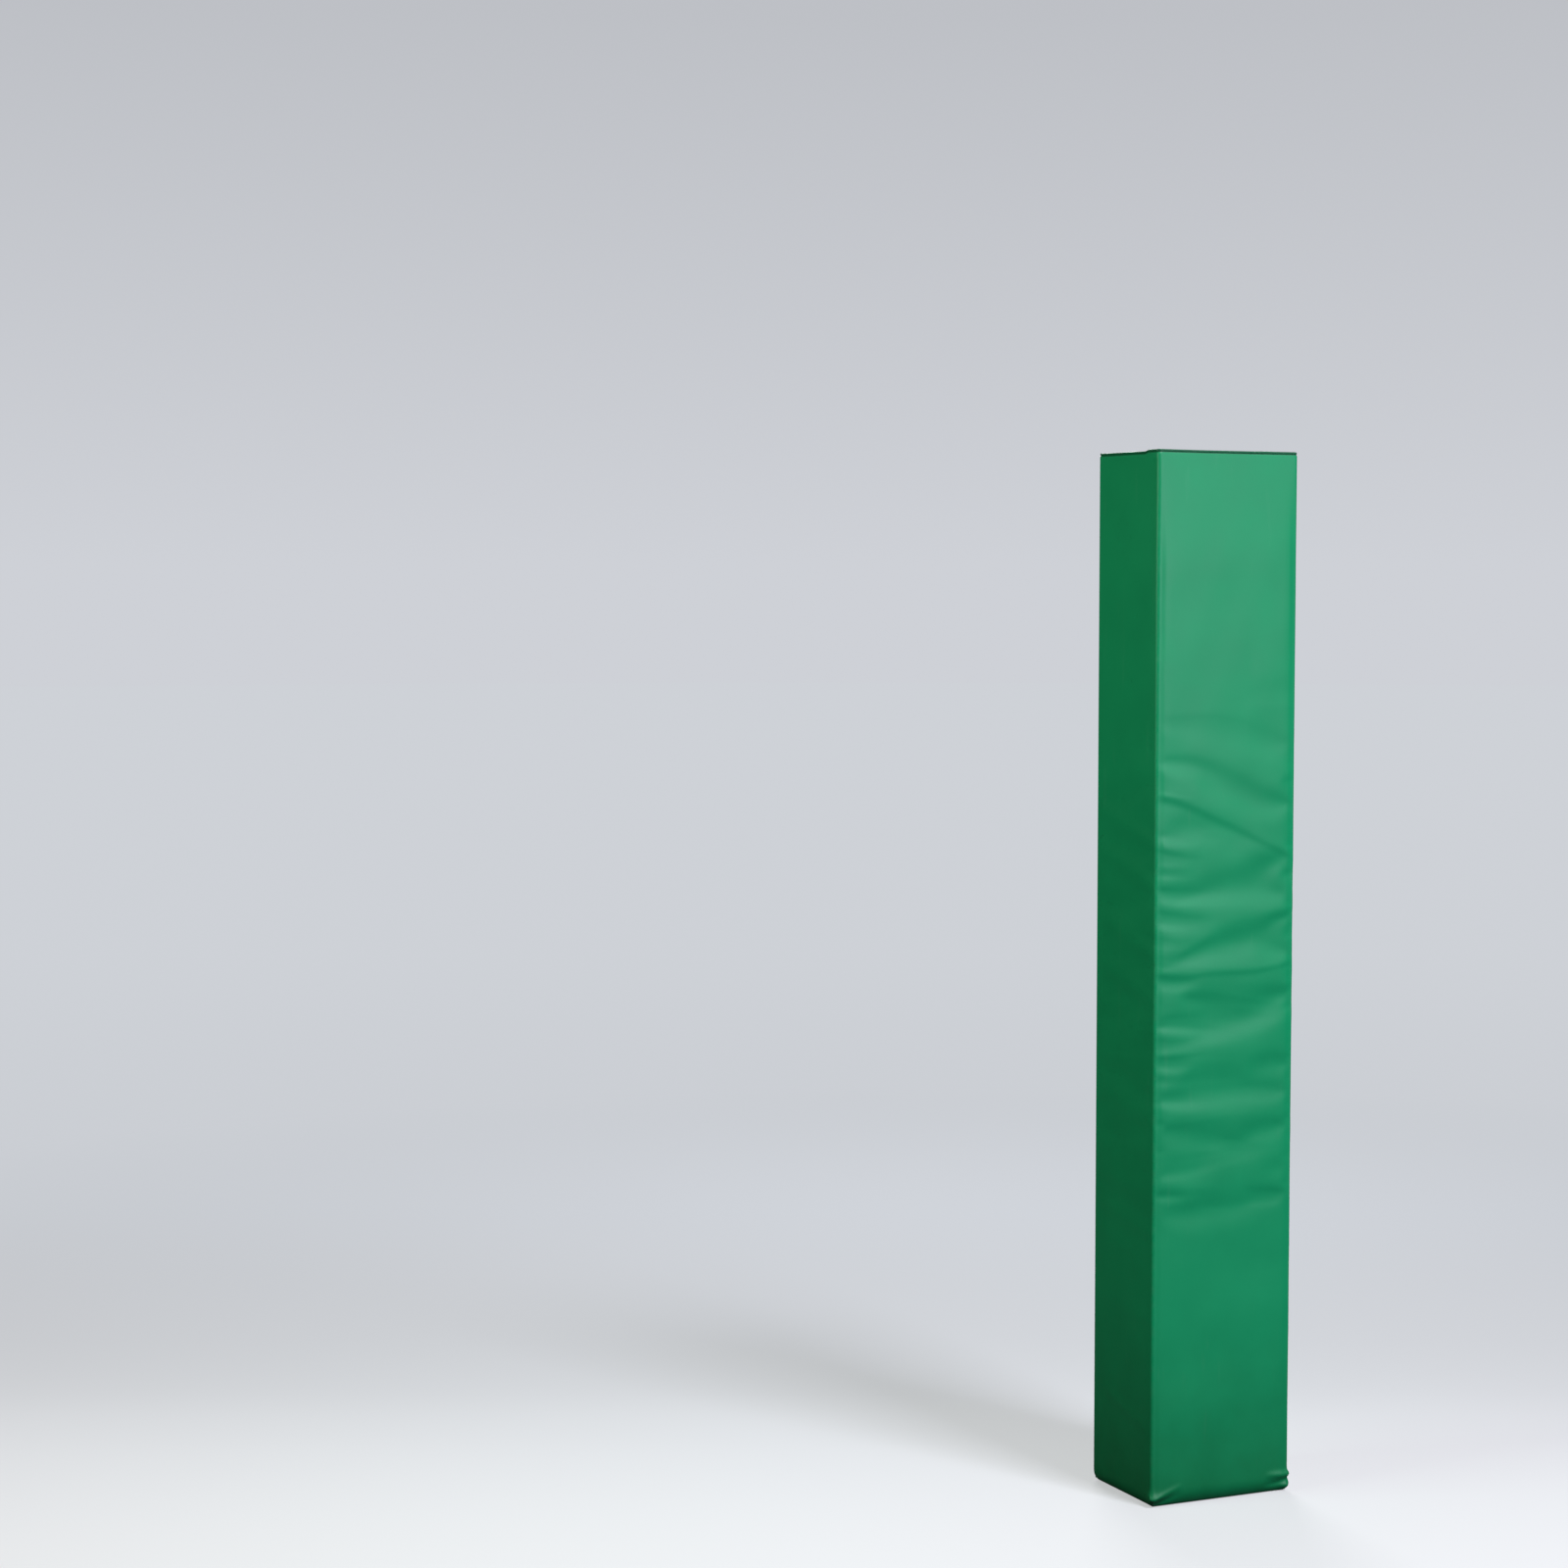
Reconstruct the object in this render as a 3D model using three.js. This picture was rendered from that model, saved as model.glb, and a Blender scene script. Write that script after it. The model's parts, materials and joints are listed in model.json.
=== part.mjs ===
// Wrap-around pad for a square basketball goal post: three foam panels in a vinyl cover.
// Millimetres, +Z up. X runs across the front panel, which faces -Y, and the open back is strapped shut.
import * as THREE from "three";

// The post, and the pad around it
const POST_WIDTH = 127;
const POST_CLEARANCE = 1.5;
const PANEL_THICKNESS = 75;
const PAD_HEIGHT = 1829;

// The cover, and the gap between two pieces that touch
const VINYL = 1;
const GAP = 0.3;

// How far the cover stands proud of its seams: a smooth crown, and the bulges between creases
const FRONT_CROWN = 2;
const SIDE_CROWN = 1.5;
const FRONT_BULGE = 2.5;
const SIDE_BULGE = 1.5;
const HEM_RISE = 80;

// Straps of webbing with hook-and-loop ends
const STRAP_COUNT = 5;
const STRAP_WIDTH = 50;
const WEBBING = 1.6;
const STRAP_HEM_DISTANCE = 165;
const STRAP_SIDE_INSET = 8;
const SEWN_END_MARGIN = 15;
const TAB_LENGTH = 18;
const TAB_SIDE_INSET = 4;
const HOOK_TAPE = 1.5;
const LOOP_TAPE = 1.5;
const TAPE_MARGIN = 7;
const TAPE_TAB_GAP = 2;
const HOOK_TAPE_MARGIN = 2;
const LOOP_TAPE_OVERHANG = 3;

// Vent eyelets
const VENT_BORE_RADIUS = 3;
const VENT_WALL = 1;
const VENT_FLANGE = 3;
const VENT_PLATE = 0.8;
const VENT_SEGMENTS = 16;

// Creases of the front cover, lowest first, as shares of the pad's height at the left and right edges.
// The last line is where the bulges end.
const FRONT_CREASE_SHARES = [
  [0.297, 0.275],
  [0.373, 0.36],
  [0.426, 0.45],
  [0.503, 0.509],
  [0.536, 0.556],
  [0.618, 0.583],
  [0.678, 0.613],
  [0.72, 0.665],
  [0.769, 0.718],
  [0.82, 0.79],
];
const FRONT_BULGE_SHARES = [0.5, 0.6, 0.9, 0.7, 0.9, 0.8, 1, 0.8, 0.5];

// The same for the side covers, from the back edge to the front edge
const SIDE_CREASE_SHARES = [
  [0.105, 0.083],
  [0.186, 0.17],
  [0.277, 0.259],
  [0.42, 0.395],
  [0.511, 0.481],
  [0.559, 0.523],
  [0.621, 0.588],
  [0.657, 0.629],
  [0.72, 0.7],
];
const SIDE_BULGE_SHARES = [0.8, 0.6, 0.4, 0.7, 0.9, 1, 0.9, 0.5];

// Where a bulge is fullest and where its upper flank lies, as shares of the way to the next crease
const CREST_SHARE = 0.3;
const FLANK_SHARE = 0.68;
const FLANK_BULGE_SHARE = 0.55;
const FAR_END_BULGE_SHARE = 0.55;

// Columns and rows of the cover's surface
const FRONT_COLUMN_SHARES = [0, 0.025, 0.07, 0.15, 0.3, 0.5, 0.7, 0.85, 0.93, 0.975, 1];
const SIDE_COLUMN_SHARES = [0, 0.05, 0.18, 0.5, 0.82, 0.95, 1];
const HEM_ROW_SHARES = [0, 0.2, 0.5, 1];
const FRONT_PLAIN_ROWS = 5;
const SIDE_PLAIN_ROWS = 2;
const CROWN_POWER = 2;
const BULGE_POWER = 10;

// Plan of the pad, before it is centred: the front face lies on y = 0
const channelWidth = POST_WIDTH + 2 * POST_CLEARANCE;
const padWidth = channelWidth + 2 * PANEL_THICKNESS;
const padDepth = PANEL_THICKNESS + POST_CLEARANCE + POST_WIDTH;
const sideX = padWidth / 2;
const channelX = channelWidth / 2;
const seam = VINYL + GAP;
const mitreGap = GAP / 2;

// Stack of layers behind the back face
const anchorInner = padDepth + GAP;
const anchorOuter = anchorInner + WEBBING;
const loopOuter = padDepth + GAP + LOOP_TAPE;
const hookInner = loopOuter + GAP;
const strapInner = hookInner + HOOK_TAPE + GAP;
const strapOuter = strapInner + WEBBING;

// Layout of a strap across the back
const sewnStart = -sideX + STRAP_SIDE_INSET;
const sewnEnd = -channelX - SEWN_END_MARGIN;
const strapStart = sewnEnd + GAP;
const strapEnd = sideX - TAB_SIDE_INSET;
const tabStart = strapEnd - TAB_LENGTH;
const tapeStart = channelX + TAPE_MARGIN;
const tapeEnd = tabStart - TAPE_TAB_GAP;
const strapPitch = (PAD_HEIGHT - 2 * STRAP_HEM_DISTANCE) / (STRAP_COUNT - 1);
const hookHeight = STRAP_WIDTH - 2 * HOOK_TAPE_MARGIN;
const loopHeight = STRAP_WIDTH + 2 * LOOP_TAPE_OVERHANG;

const coverVinyl = new THREE.MeshStandardMaterial({ color: 0x1f8a5c, roughness: 0.42, metalness: 0 });
const linerVinyl = new THREE.MeshStandardMaterial({ color: 0x23252a, roughness: 0.6, metalness: 0 });
const foam = new THREE.MeshStandardMaterial({ color: 0xd9d4c2, roughness: 0.95, metalness: 0 });
const webbing = new THREE.MeshStandardMaterial({ color: 0x17181b, roughness: 0.85, metalness: 0 });
const hookTape = new THREE.MeshStandardMaterial({ color: 0x0f1012, roughness: 0.8, metalness: 0 });
const loopTape = new THREE.MeshStandardMaterial({ color: 0x1b1c20, roughness: 0.95, metalness: 0 });
const brass = new THREE.MeshStandardMaterial({ color: 0xb5924c, roughness: 0.32, metalness: 1 });

function named(name, geometry, material) {
  const mesh = new THREE.Mesh(geometry, material);
  mesh.name = name;
  return mesh;
}

// The point where two lines cross, each given by a point and a direction.
function crossing(a, b) {
  const between = b.point.clone().sub(a.point);
  const along = between.cross(b.along) / a.along.cross(b.along);
  return a.point.clone().addScaledVector(a.along, along);
}

// A convex outline, given anticlockwise, with each side moved inwards by its own distance.
function insetOutline(corners, distances) {
  const sides = corners.map((corner, i) => {
    const next = corners[(i + 1) % corners.length];
    const along = next.clone().sub(corner).normalize();
    const inward = new THREE.Vector2(-along.y, along.x);
    return { point: corner.clone().addScaledVector(inward, distances[i]), along };
  });
  return sides.map((side, i) => crossing(sides.at(i - 1), side));
}

// Section of a sheet of vinyl along one side of an outline: outer start and end, then inner end and start.
function sheetSection(corners, side, distances) {
  const next = (side + 1) % corners.length;
  const inner = distances.map((distance, i) => (i === side ? distance + VINYL : distance));
  const outerPoints = insetOutline(corners, distances);
  const innerPoints = insetOutline(corners, inner);
  return [outerPoints[side], outerPoints[next], innerPoints[next], innerPoints[side]];
}

function upright(points, from, to) {
  const options = { depth: to - from, bevelEnabled: false };
  return new THREE.ExtrudeGeometry(new THREE.Shape(points), options).translate(0, 0, from);
}

const mix = THREE.MathUtils.lerp;

// Rows of a creased cover, bottom to top: the height at both ends, and how full the cover bulges there.
function coverRows(creaseShares, bulgeShares, plainRows) {
  const crease = ([start, end]) => ({ start: start * PAD_HEIGHT, end: end * PAD_HEIGHT, bulge: 0 });
  const level = (z) => ({ start: z, end: z, bulge: 0 });
  const between = (a, b, share, bulge) => ({
    start: mix(a.start, b.start, share),
    end: mix(a.end, b.end, share),
    bulge,
  });
  const plain = (a, b) =>
    Array.from({ length: plainRows }, (_, i) => between(a, b, (i + 1) / (plainRows + 1), 0));

  const creases = creaseShares.map(crease);
  const bottomHem = HEM_ROW_SHARES.map((share) => level(share * HEM_RISE));
  const topHem = HEM_ROW_SHARES.map((share) => level(PAD_HEIGHT - share * HEM_RISE)).reverse();
  const bulges = bulgeShares.flatMap((bulge, i) => [
    creases[i],
    between(creases[i], creases[i + 1], CREST_SHARE, bulge),
    between(creases[i], creases[i + 1], FLANK_SHARE, bulge * FLANK_BULGE_SHARE),
  ]);
  return [
    ...bottomHem,
    ...plain(bottomHem.at(-1), creases[0]),
    ...bulges,
    creases.at(-1),
    ...plain(creases.at(-1), topHem[0]),
    ...topHem,
  ];
}

// A sheet of vinyl as high as the pad, crowned and creased, from its section and its rows.
// The bulges are full at the section's start and grow flatter towards its end.
function creasedSheet(section, columnShares, rows, crown, bulge) {
  const [outerStart, outerEnd, innerEnd, innerStart] = section;
  const along = outerEnd.clone().sub(outerStart).normalize();
  const outward = new THREE.Vector2(along.y, -along.x);
  const columns = columnShares.length;
  const positions = [];
  const addLayer = (start, end) => {
    for (const row of rows)
      for (const share of columnShares) {
        const z = mix(row.start, row.end, share);
        const across = Math.abs(2 * share - 1);
        const hemShare = THREE.MathUtils.smoothstep(Math.min(z, PAD_HEIGHT - z), 0, HEM_RISE);
        const fade = mix(1, FAR_END_BULGE_SHARE, share);
        const crownLift = crown * hemShare * (1 - across ** CROWN_POWER);
        const bulgeLift = bulge * row.bulge * fade * (1 - across ** BULGE_POWER);
        const point = start.clone().lerp(end, share).addScaledVector(outward, crownLift + bulgeLift);
        positions.push(point.x, point.y, z);
      }
  };
  addLayer(outerStart, outerEnd);
  addLayer(innerStart, innerEnd);

  const index = [];
  const quad = (a, b, c, d) => index.push(a, b, c, a, c, d);
  const outer = (i, j) => j * columns + i;
  const inner = (i, j) => (rows.length + j) * columns + i;
  const lastColumn = columns - 1;
  const lastRow = rows.length - 1;
  for (let j = 0; j < lastRow; j++) {
    for (let i = 0; i < lastColumn; i++) {
      quad(outer(i, j), outer(i + 1, j), outer(i + 1, j + 1), outer(i, j + 1));
      quad(inner(i, j), inner(i, j + 1), inner(i + 1, j + 1), inner(i + 1, j));
    }
    quad(outer(0, j), outer(0, j + 1), inner(0, j + 1), inner(0, j));
    quad(outer(lastColumn, j), inner(lastColumn, j), inner(lastColumn, j + 1), outer(lastColumn, j + 1));
  }
  for (let i = 0; i < lastColumn; i++) {
    quad(outer(i, 0), inner(i, 0), inner(i + 1, 0), outer(i + 1, 0));
    quad(outer(i, lastRow), outer(i + 1, lastRow), inner(i + 1, lastRow), inner(i, lastRow));
  }
  const geometry = new THREE.BufferGeometry();
  geometry.setAttribute("position", new THREE.Float32BufferAttribute(positions, 3));
  geometry.setIndex(index);
  geometry.computeVertexNormals();
  return geometry;
}

// The foam block inside a panel, and the two end caps that close its cover.
function coreAndCaps(prefix, outline) {
  const top = PAD_HEIGHT - VINYL;
  return [
    named(`${prefix}_foam_core`, upright(outline, seam, top - GAP), foam),
    named(`${prefix}_bottom_cap`, upright(outline, 0, VINYL), coverVinyl),
    named(`${prefix}_top_cap`, upright(outline, top, PAD_HEIGHT), coverVinyl),
  ];
}

// The front panel is mitred at both ends, so that the side panels fold about its outer corners.
function frontPanel() {
  const corners = [
    new THREE.Vector2(-sideX, 0),
    new THREE.Vector2(sideX, 0),
    new THREE.Vector2(channelX, PANEL_THICKNESS),
    new THREE.Vector2(-channelX, PANEL_THICKNESS),
  ];
  const side = { face: 0, rightMitre: 1, channel: 2, leftMitre: 3 };
  const rows = coverRows(FRONT_CREASE_SHARES, FRONT_BULGE_SHARES, FRONT_PLAIN_ROWS);
  const faceSection = sheetSection(corners, side.face, [0, mitreGap, 0, mitreGap]);
  const linerSection = sheetSection(corners, side.channel, [0, mitreGap, 0, mitreGap]);
  const gussetSection = (mitre) => sheetSection(corners, mitre, [seam, mitreGap, seam, mitreGap]);
  const coreOutline = insetOutline(corners, [seam, mitreGap + seam, seam, mitreGap + seam]);

  const panel = new THREE.Group();
  panel.add(
    named(
      "front_skin",
      creasedSheet(faceSection, FRONT_COLUMN_SHARES, rows, FRONT_CROWN, FRONT_BULGE),
      coverVinyl,
    ),
    named("front_liner", upright(linerSection, 0, PAD_HEIGHT), linerVinyl),
    named("front_left_gusset", upright(gussetSection(side.leftMitre), 0, PAD_HEIGHT), linerVinyl),
    named("front_right_gusset", upright(gussetSection(side.rightMitre), 0, PAD_HEIGHT), linerVinyl),
    ...coreAndCaps("front", coreOutline),
  );
  return panel;
}

const strapHeights = Array.from({ length: STRAP_COUNT }, (_, i) => STRAP_HEM_DISTANCE + i * strapPitch);
const ventHeights = strapHeights.slice(1).map((z) => z - strapPitch / 2);
const ventX = -sideX + PANEL_THICKNESS / 2;
const ventBarrelRadius = VENT_BORE_RADIUS + VENT_WALL;

// Back facing of a side panel, from its section, with a hole for each vent eyelet.
function rearFacing([outerStart, outerEnd]) {
  const outline = new THREE.Shape([
    new THREE.Vector2(outerEnd.x, 0),
    new THREE.Vector2(outerStart.x, 0),
    new THREE.Vector2(outerStart.x, PAD_HEIGHT),
    new THREE.Vector2(outerEnd.x, PAD_HEIGHT),
  ]);
  for (const z of ventHeights) {
    const hole = new THREE.Path();
    hole.absarc(ventX, z, ventBarrelRadius + GAP, 0, 2 * Math.PI, true);
    outline.holes.push(hole);
  }
  const options = { depth: VINYL, bevelEnabled: false, curveSegments: VENT_SEGMENTS };
  return new THREE.ExtrudeGeometry(outline, options).rotateX(Math.PI / 2).translate(0, outerStart.y, 0);
}

// An eyelet that lets air out of the cover: a barrel through the facing, and a flange that lies on it.
function ventEyelet(z) {
  const flangeRadius = ventBarrelRadius + VENT_FLANGE;
  const barrelEnd = -VINYL;
  const flangeOuter = GAP + VENT_PLATE;
  const profile = [
    new THREE.Vector2(VENT_BORE_RADIUS, barrelEnd),
    new THREE.Vector2(ventBarrelRadius, barrelEnd),
    new THREE.Vector2(ventBarrelRadius, GAP),
    new THREE.Vector2(flangeRadius, GAP),
    new THREE.Vector2(flangeRadius, flangeOuter),
    new THREE.Vector2(VENT_BORE_RADIUS, flangeOuter),
    new THREE.Vector2(VENT_BORE_RADIUS, barrelEnd),
  ];
  return new THREE.LatheGeometry(profile, VENT_SEGMENTS).translate(ventX, padDepth, z);
}

// A side panel, drawn as the left one. Its back facing carries the vents and one end of each strap.
function sidePanel(prefix) {
  const corners = [
    new THREE.Vector2(-sideX, 0),
    new THREE.Vector2(-channelX, PANEL_THICKNESS),
    new THREE.Vector2(-channelX, padDepth),
    new THREE.Vector2(-sideX, padDepth),
  ];
  const side = { mitre: 0, channel: 1, rear: 2, face: 3 };
  const rows = coverRows(SIDE_CREASE_SHARES, SIDE_BULGE_SHARES, SIDE_PLAIN_ROWS);
  const faceSection = sheetSection(corners, side.face, [mitreGap, 0, 0, 0]);
  const rearSection = sheetSection(corners, side.rear, [0, 0, 0, seam]);
  const linerSection = sheetSection(corners, side.channel, [mitreGap, 0, seam, 0]);
  const gussetSection = sheetSection(corners, side.mitre, [mitreGap, seam, 0, seam]);
  const coreOutline = insetOutline(corners, [mitreGap + seam, seam, seam, seam]);

  const panel = new THREE.Group();
  panel.add(
    named(
      `${prefix}_skin`,
      creasedSheet(faceSection, SIDE_COLUMN_SHARES, rows, SIDE_CROWN, SIDE_BULGE),
      coverVinyl,
    ),
    named(`${prefix}_rear_facing`, rearFacing(rearSection), coverVinyl),
    named(`${prefix}_liner`, upright(linerSection, 0, PAD_HEIGHT), linerVinyl),
    named(`${prefix}_gusset`, upright(gussetSection, 0, PAD_HEIGHT), linerVinyl),
    ...coreAndCaps(prefix, coreOutline),
    ...ventHeights.map((z, i) => named(`${prefix}_vent_eyelet_${i + 1}`, ventEyelet(z), brass)),
  );
  return panel;
}

// Geometry of a strip across the back, from its plan outline, centred on z = 0.
function strip(points, width) {
  return upright(points, -width / 2, width / 2);
}

function tape(from, to, inner, outer, height) {
  const points = [
    new THREE.Vector2(from, inner),
    new THREE.Vector2(to, inner),
    new THREE.Vector2(to, outer),
    new THREE.Vector2(from, outer),
  ];
  return strip(points, height);
}

// The free tail of a strap: it climbs from the sewn end to lie over the tapes.
// Its tip is folded inwards as a pull tab.
function strapTail() {
  const points = [
    new THREE.Vector2(strapStart, anchorInner),
    new THREE.Vector2(tapeStart, strapInner),
    new THREE.Vector2(tabStart, strapInner),
    new THREE.Vector2(tabStart, strapInner - WEBBING),
    new THREE.Vector2(strapEnd, strapInner - WEBBING),
    new THREE.Vector2(strapEnd, strapOuter),
    new THREE.Vector2(tapeStart, strapOuter),
    new THREE.Vector2(strapStart, anchorOuter),
  ];
  return strip(points, STRAP_WIDTH);
}

// One closure: sewn end on the left panel, tail with hook tape, and loop tape on the right panel.
function closure(number, z) {
  const sewn = tape(sewnStart, sewnEnd, anchorInner, anchorOuter, STRAP_WIDTH);
  const hook = tape(tapeStart, tapeEnd, hookInner, hookInner + HOOK_TAPE, hookHeight);
  const loop = tape(tapeStart, tapeEnd, loopOuter - LOOP_TAPE, loopOuter, loopHeight);
  const group = new THREE.Group();
  group.add(
    named(`strap_anchor_${number}`, sewn, webbing),
    named(`strap_${number}`, strapTail(), webbing),
    named(`hook_tape_${number}`, hook, hookTape),
    named(`loop_tape_${number}`, loop, loopTape),
  );
  group.position.z = z;
  return group;
}

const rightPanel = sidePanel("right");
rightPanel.scale.x = -1;

const pad = new THREE.Group();
pad.add(frontPanel(), sidePanel("left"), rightPanel);
strapHeights.forEach((z, i) => pad.add(closure(i + 1, z)));

// The origin is on the floor, under the middle of the pad's full width and depth.
pad.position.y = -new THREE.Box3().setFromObject(pad).getCenter(new THREE.Vector3()).y;

export default pad;
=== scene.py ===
"""Basketball pole pad: three foam panels in one vinyl cover, closed behind the post by five straps."""

import json
import math

import bmesh
import bpy
import numpy as np
from bpy.props import FloatProperty, FloatVectorProperty, IntProperty, PointerProperty
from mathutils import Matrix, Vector


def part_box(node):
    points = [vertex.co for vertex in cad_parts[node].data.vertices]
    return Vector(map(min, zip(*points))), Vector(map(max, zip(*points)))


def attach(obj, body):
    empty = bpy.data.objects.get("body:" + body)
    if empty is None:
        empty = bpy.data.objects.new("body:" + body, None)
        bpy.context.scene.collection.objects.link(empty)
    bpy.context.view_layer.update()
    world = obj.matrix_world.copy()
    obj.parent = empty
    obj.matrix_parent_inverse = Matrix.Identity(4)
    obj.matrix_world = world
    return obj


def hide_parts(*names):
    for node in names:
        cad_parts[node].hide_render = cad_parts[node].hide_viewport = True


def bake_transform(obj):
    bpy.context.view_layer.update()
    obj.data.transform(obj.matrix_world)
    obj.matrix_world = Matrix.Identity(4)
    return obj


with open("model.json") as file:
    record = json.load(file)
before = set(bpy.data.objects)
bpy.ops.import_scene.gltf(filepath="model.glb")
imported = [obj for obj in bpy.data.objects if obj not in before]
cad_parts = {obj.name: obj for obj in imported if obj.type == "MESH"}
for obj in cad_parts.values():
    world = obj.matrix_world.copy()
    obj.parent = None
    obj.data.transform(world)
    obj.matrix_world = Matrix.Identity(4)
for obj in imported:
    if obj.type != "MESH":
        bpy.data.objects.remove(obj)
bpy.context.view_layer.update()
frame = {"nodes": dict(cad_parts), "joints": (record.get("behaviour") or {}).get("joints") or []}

bl_info = {
    "name": "Basketball Pole Pad",
    "version": (1, 0, 0),
    "blender": (4, 5, 0),
    "location": "View3D > Sidebar > Pole Pad",
    "description": "Builds a wrap-round pole pad with its cover, foam, straps and stage",
    "category": "Add Mesh",
}

# The pad's own measures, taken from the frame
FOLD = {joint["name"]: joint["pos_m"] for joint in frame["joints"]}
HALF_WIDTH = FOLD["right_panel_fold"][0]
FRONT = FOLD["right_panel_fold"][1]
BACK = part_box("left_rear_facing")[1].y
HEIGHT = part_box("front_top_cap")[1].z
CHANNEL = -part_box("left_liner")[1].x
CHANNEL_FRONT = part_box("front_liner")[1].y
STRAP_COUNT = sum(name.startswith("strap_anchor_") for name in frame["nodes"])
VENT_COUNT = sum(name.startswith("left_vent_eyelet_") for name in frame["nodes"])
STRAP_HEIGHTS = [
    (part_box(f"strap_anchor_{k}")[0].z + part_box(f"strap_anchor_{k}")[1].z) / 2
    for k in range(1, STRAP_COUNT + 1)
]

# Folds of the front cover, in millimetres. Each has a lean, above 0 where the vinyl faces up and
# below 0 where it faces down, then points: distance from the left edge, height, half width.
FRONT_FOLDS = (
    (-0.025, (4, 1372, 5), (109, 1374, 6), (171, 1364, 8.8), (226, 1346, 11.8), (273, 1325, 10.3)),
    (0.035, (4, 1353, 5.9), (93, 1341, 18.4), (171, 1327, 20.6), (242, 1297, 14.7), (275, 1277, 7.3)),
    (-0.055, (19, 1304, 4.4), (70, 1301, 10.3), (132, 1281, 16.2), (203, 1249, 14.7), (275, 1221, 8.8)),
    (0.085, (4, 1289, 5.9), (54, 1276, 16.2), (109, 1248, 22), (187, 1212, 19.1), (250, 1188, 10.3)),
    (-0.12, (5, 1236, 6.5), (39, 1228, 6.5), (70, 1216, 7), (180, 1168, 7.5), (278, 1122, 6.5)),
    (-0.03, (70, 1190, 14.7), (180, 1142, 17.6), (273, 1101, 10.3)),
    (0.12, (5, 1244, 3.7), (31, 1240, 3.7), (51, 1235, 2.9)),
    (0.12, (5, 1163, 7.3), (31, 1158, 8.1), (63, 1152, 5.9)),
    (-0.1, (5, 1146, 3.7), (32, 1140, 5.1), (71, 1132, 5.1)),
    (0.06, (5, 1122, 3.7), (41, 1119, 3.7)),
    (-0.05, (5, 1110, 2.9), (55, 1108, 3.7)),
    (0.1, (5, 1098, 3.7), (32, 1096, 4.4), (59, 1094, 3.7)),
    (-0.1, (5, 1080, 4.4), (40, 1077, 5.9), (79, 1076, 4.4)),
    (0.09, (5, 1058, 5.9), (40, 1054, 5.9), (71, 1053, 5.9)),
    (-0.08, (5, 1040, 3.7), (32, 1036, 5.1), (79, 1028, 4.4)),
    (0.08, (6, 1015, 7.3), (32, 1009, 7.3), (63, 1005, 5.9)),
    (-0.06, (6, 995, 3.7), (48, 988, 4.4)),
    (0.05, (6, 977, 4.4), (56, 973, 5.9)),
    (-0.05, (6, 960, 2.9), (40, 956, 3.7)),
    (0.09, (41, 1051, 4.4), (94, 1057, 11.8), (149, 1057, 19.1), (211, 1055, 20.6), (278, 1039, 4.4)),
    (-0.09, (48, 962, 4.4), (87, 978, 8.8), (126, 994, 14.7), (180, 1004, 17.6), (278, 1033, 5.9)),
    (0.09, (6, 937, 6), (48, 942, 9), (95, 950, 15), (149, 957, 23), (196, 960, 24), (278, 946, 7)),
    (-0.12, (6, 930, 5), (33, 924, 5.5), (64, 923, 5.5), (95, 928, 5), (204, 928, 5), (278, 939, 4)),
    (-0.1, (56, 895, 7.3), (95, 893, 19.1), (149, 890, 25), (204, 889, 23.5), (278, 898, 7.3)),
    (0.07, (6, 905, 8.8), (48, 903, 10.3), (95, 904, 5.9)),
    (0.06, (258, 910, 2.9), (278, 905, 3.7)),
    (-0.06, (6, 857, 4.4), (48, 857, 5.9), (95, 860, 5.9)),
    (0.11, (6, 834, 5.9), (41, 831, 5.9), (95, 825, 5.1)),
    (-0.07, (7, 818, 3.7), (41, 816, 4.4), (72, 816, 3.7)),
    (0.09, (7, 796, 6), (56, 800, 10), (111, 814, 18), (173, 825, 24), (227, 841, 20), (278, 857, 8)),
    (-0.12, (7, 787, 2.9), (41, 786, 3.7), (80, 789, 3.7)),
    (-0.06, (57, 754, 10.3), (103, 759, 22), (173, 762, 26.5), (243, 773, 22), (279, 778, 7.3)),
    (0.08, (7, 766, 5.9), (49, 762, 5.1)),
    (-0.06, (7, 752, 2.9), (45, 750, 3.7)),
    (0.07, (7, 740, 5.1), (49, 736, 4.4)),
    (-0.05, (7, 725, 2.9), (43, 722, 3.7)),
    (0.08, (7, 704, 7), (72, 700, 13), (150, 696, 22), (212, 700, 22), (262, 704, 12)),
    (-0.05, (7, 677, 4.4), (49, 666, 11.8), (150, 648, 22), (228, 661, 14.7), (274, 673, 5.9)),
    (0.05, (8, 573, 7.3), (73, 580, 8.8), (135, 593, 7.3), (228, 607, 5.9)),
    (-0.07, (8, 553, 5), (50, 550, 6), (112, 549, 6)),
    (-0.03, (58, 529, 10.3), (150, 525, 13.2), (212, 535, 5.9)),
    (0.06, (8, 540, 4.4), (42, 538, 3.7)),
    (-0.06, (189, 548, 5.9), (263, 539, 5.9)),
    (0.06, (189, 518, 5), (228, 515, 6), (251, 516, 5)),
    (-0.03, (194, 1432, 14.7), (273, 1431, 11.8)),
    (0.03, (179, 1399, 11.8), (269, 1401, 10.3)),
    (-0.06, (250, 1263, 3.7), (278, 1262, 3.7)),
    (0.06, (254, 1147, 4.4), (278, 1140, 3.7)),
    (-0.05, (262, 1101, 3.7), (280, 1101, 4.4)),
    (-0.06, (262, 1004, 2.9), (280, 1003, 3.7)),
    (0.05, (262, 985, 4.4), (280, 982, 4.4)),
    (-0.06, (266, 925, 3.7), (280, 924, 3.7)),
)

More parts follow.
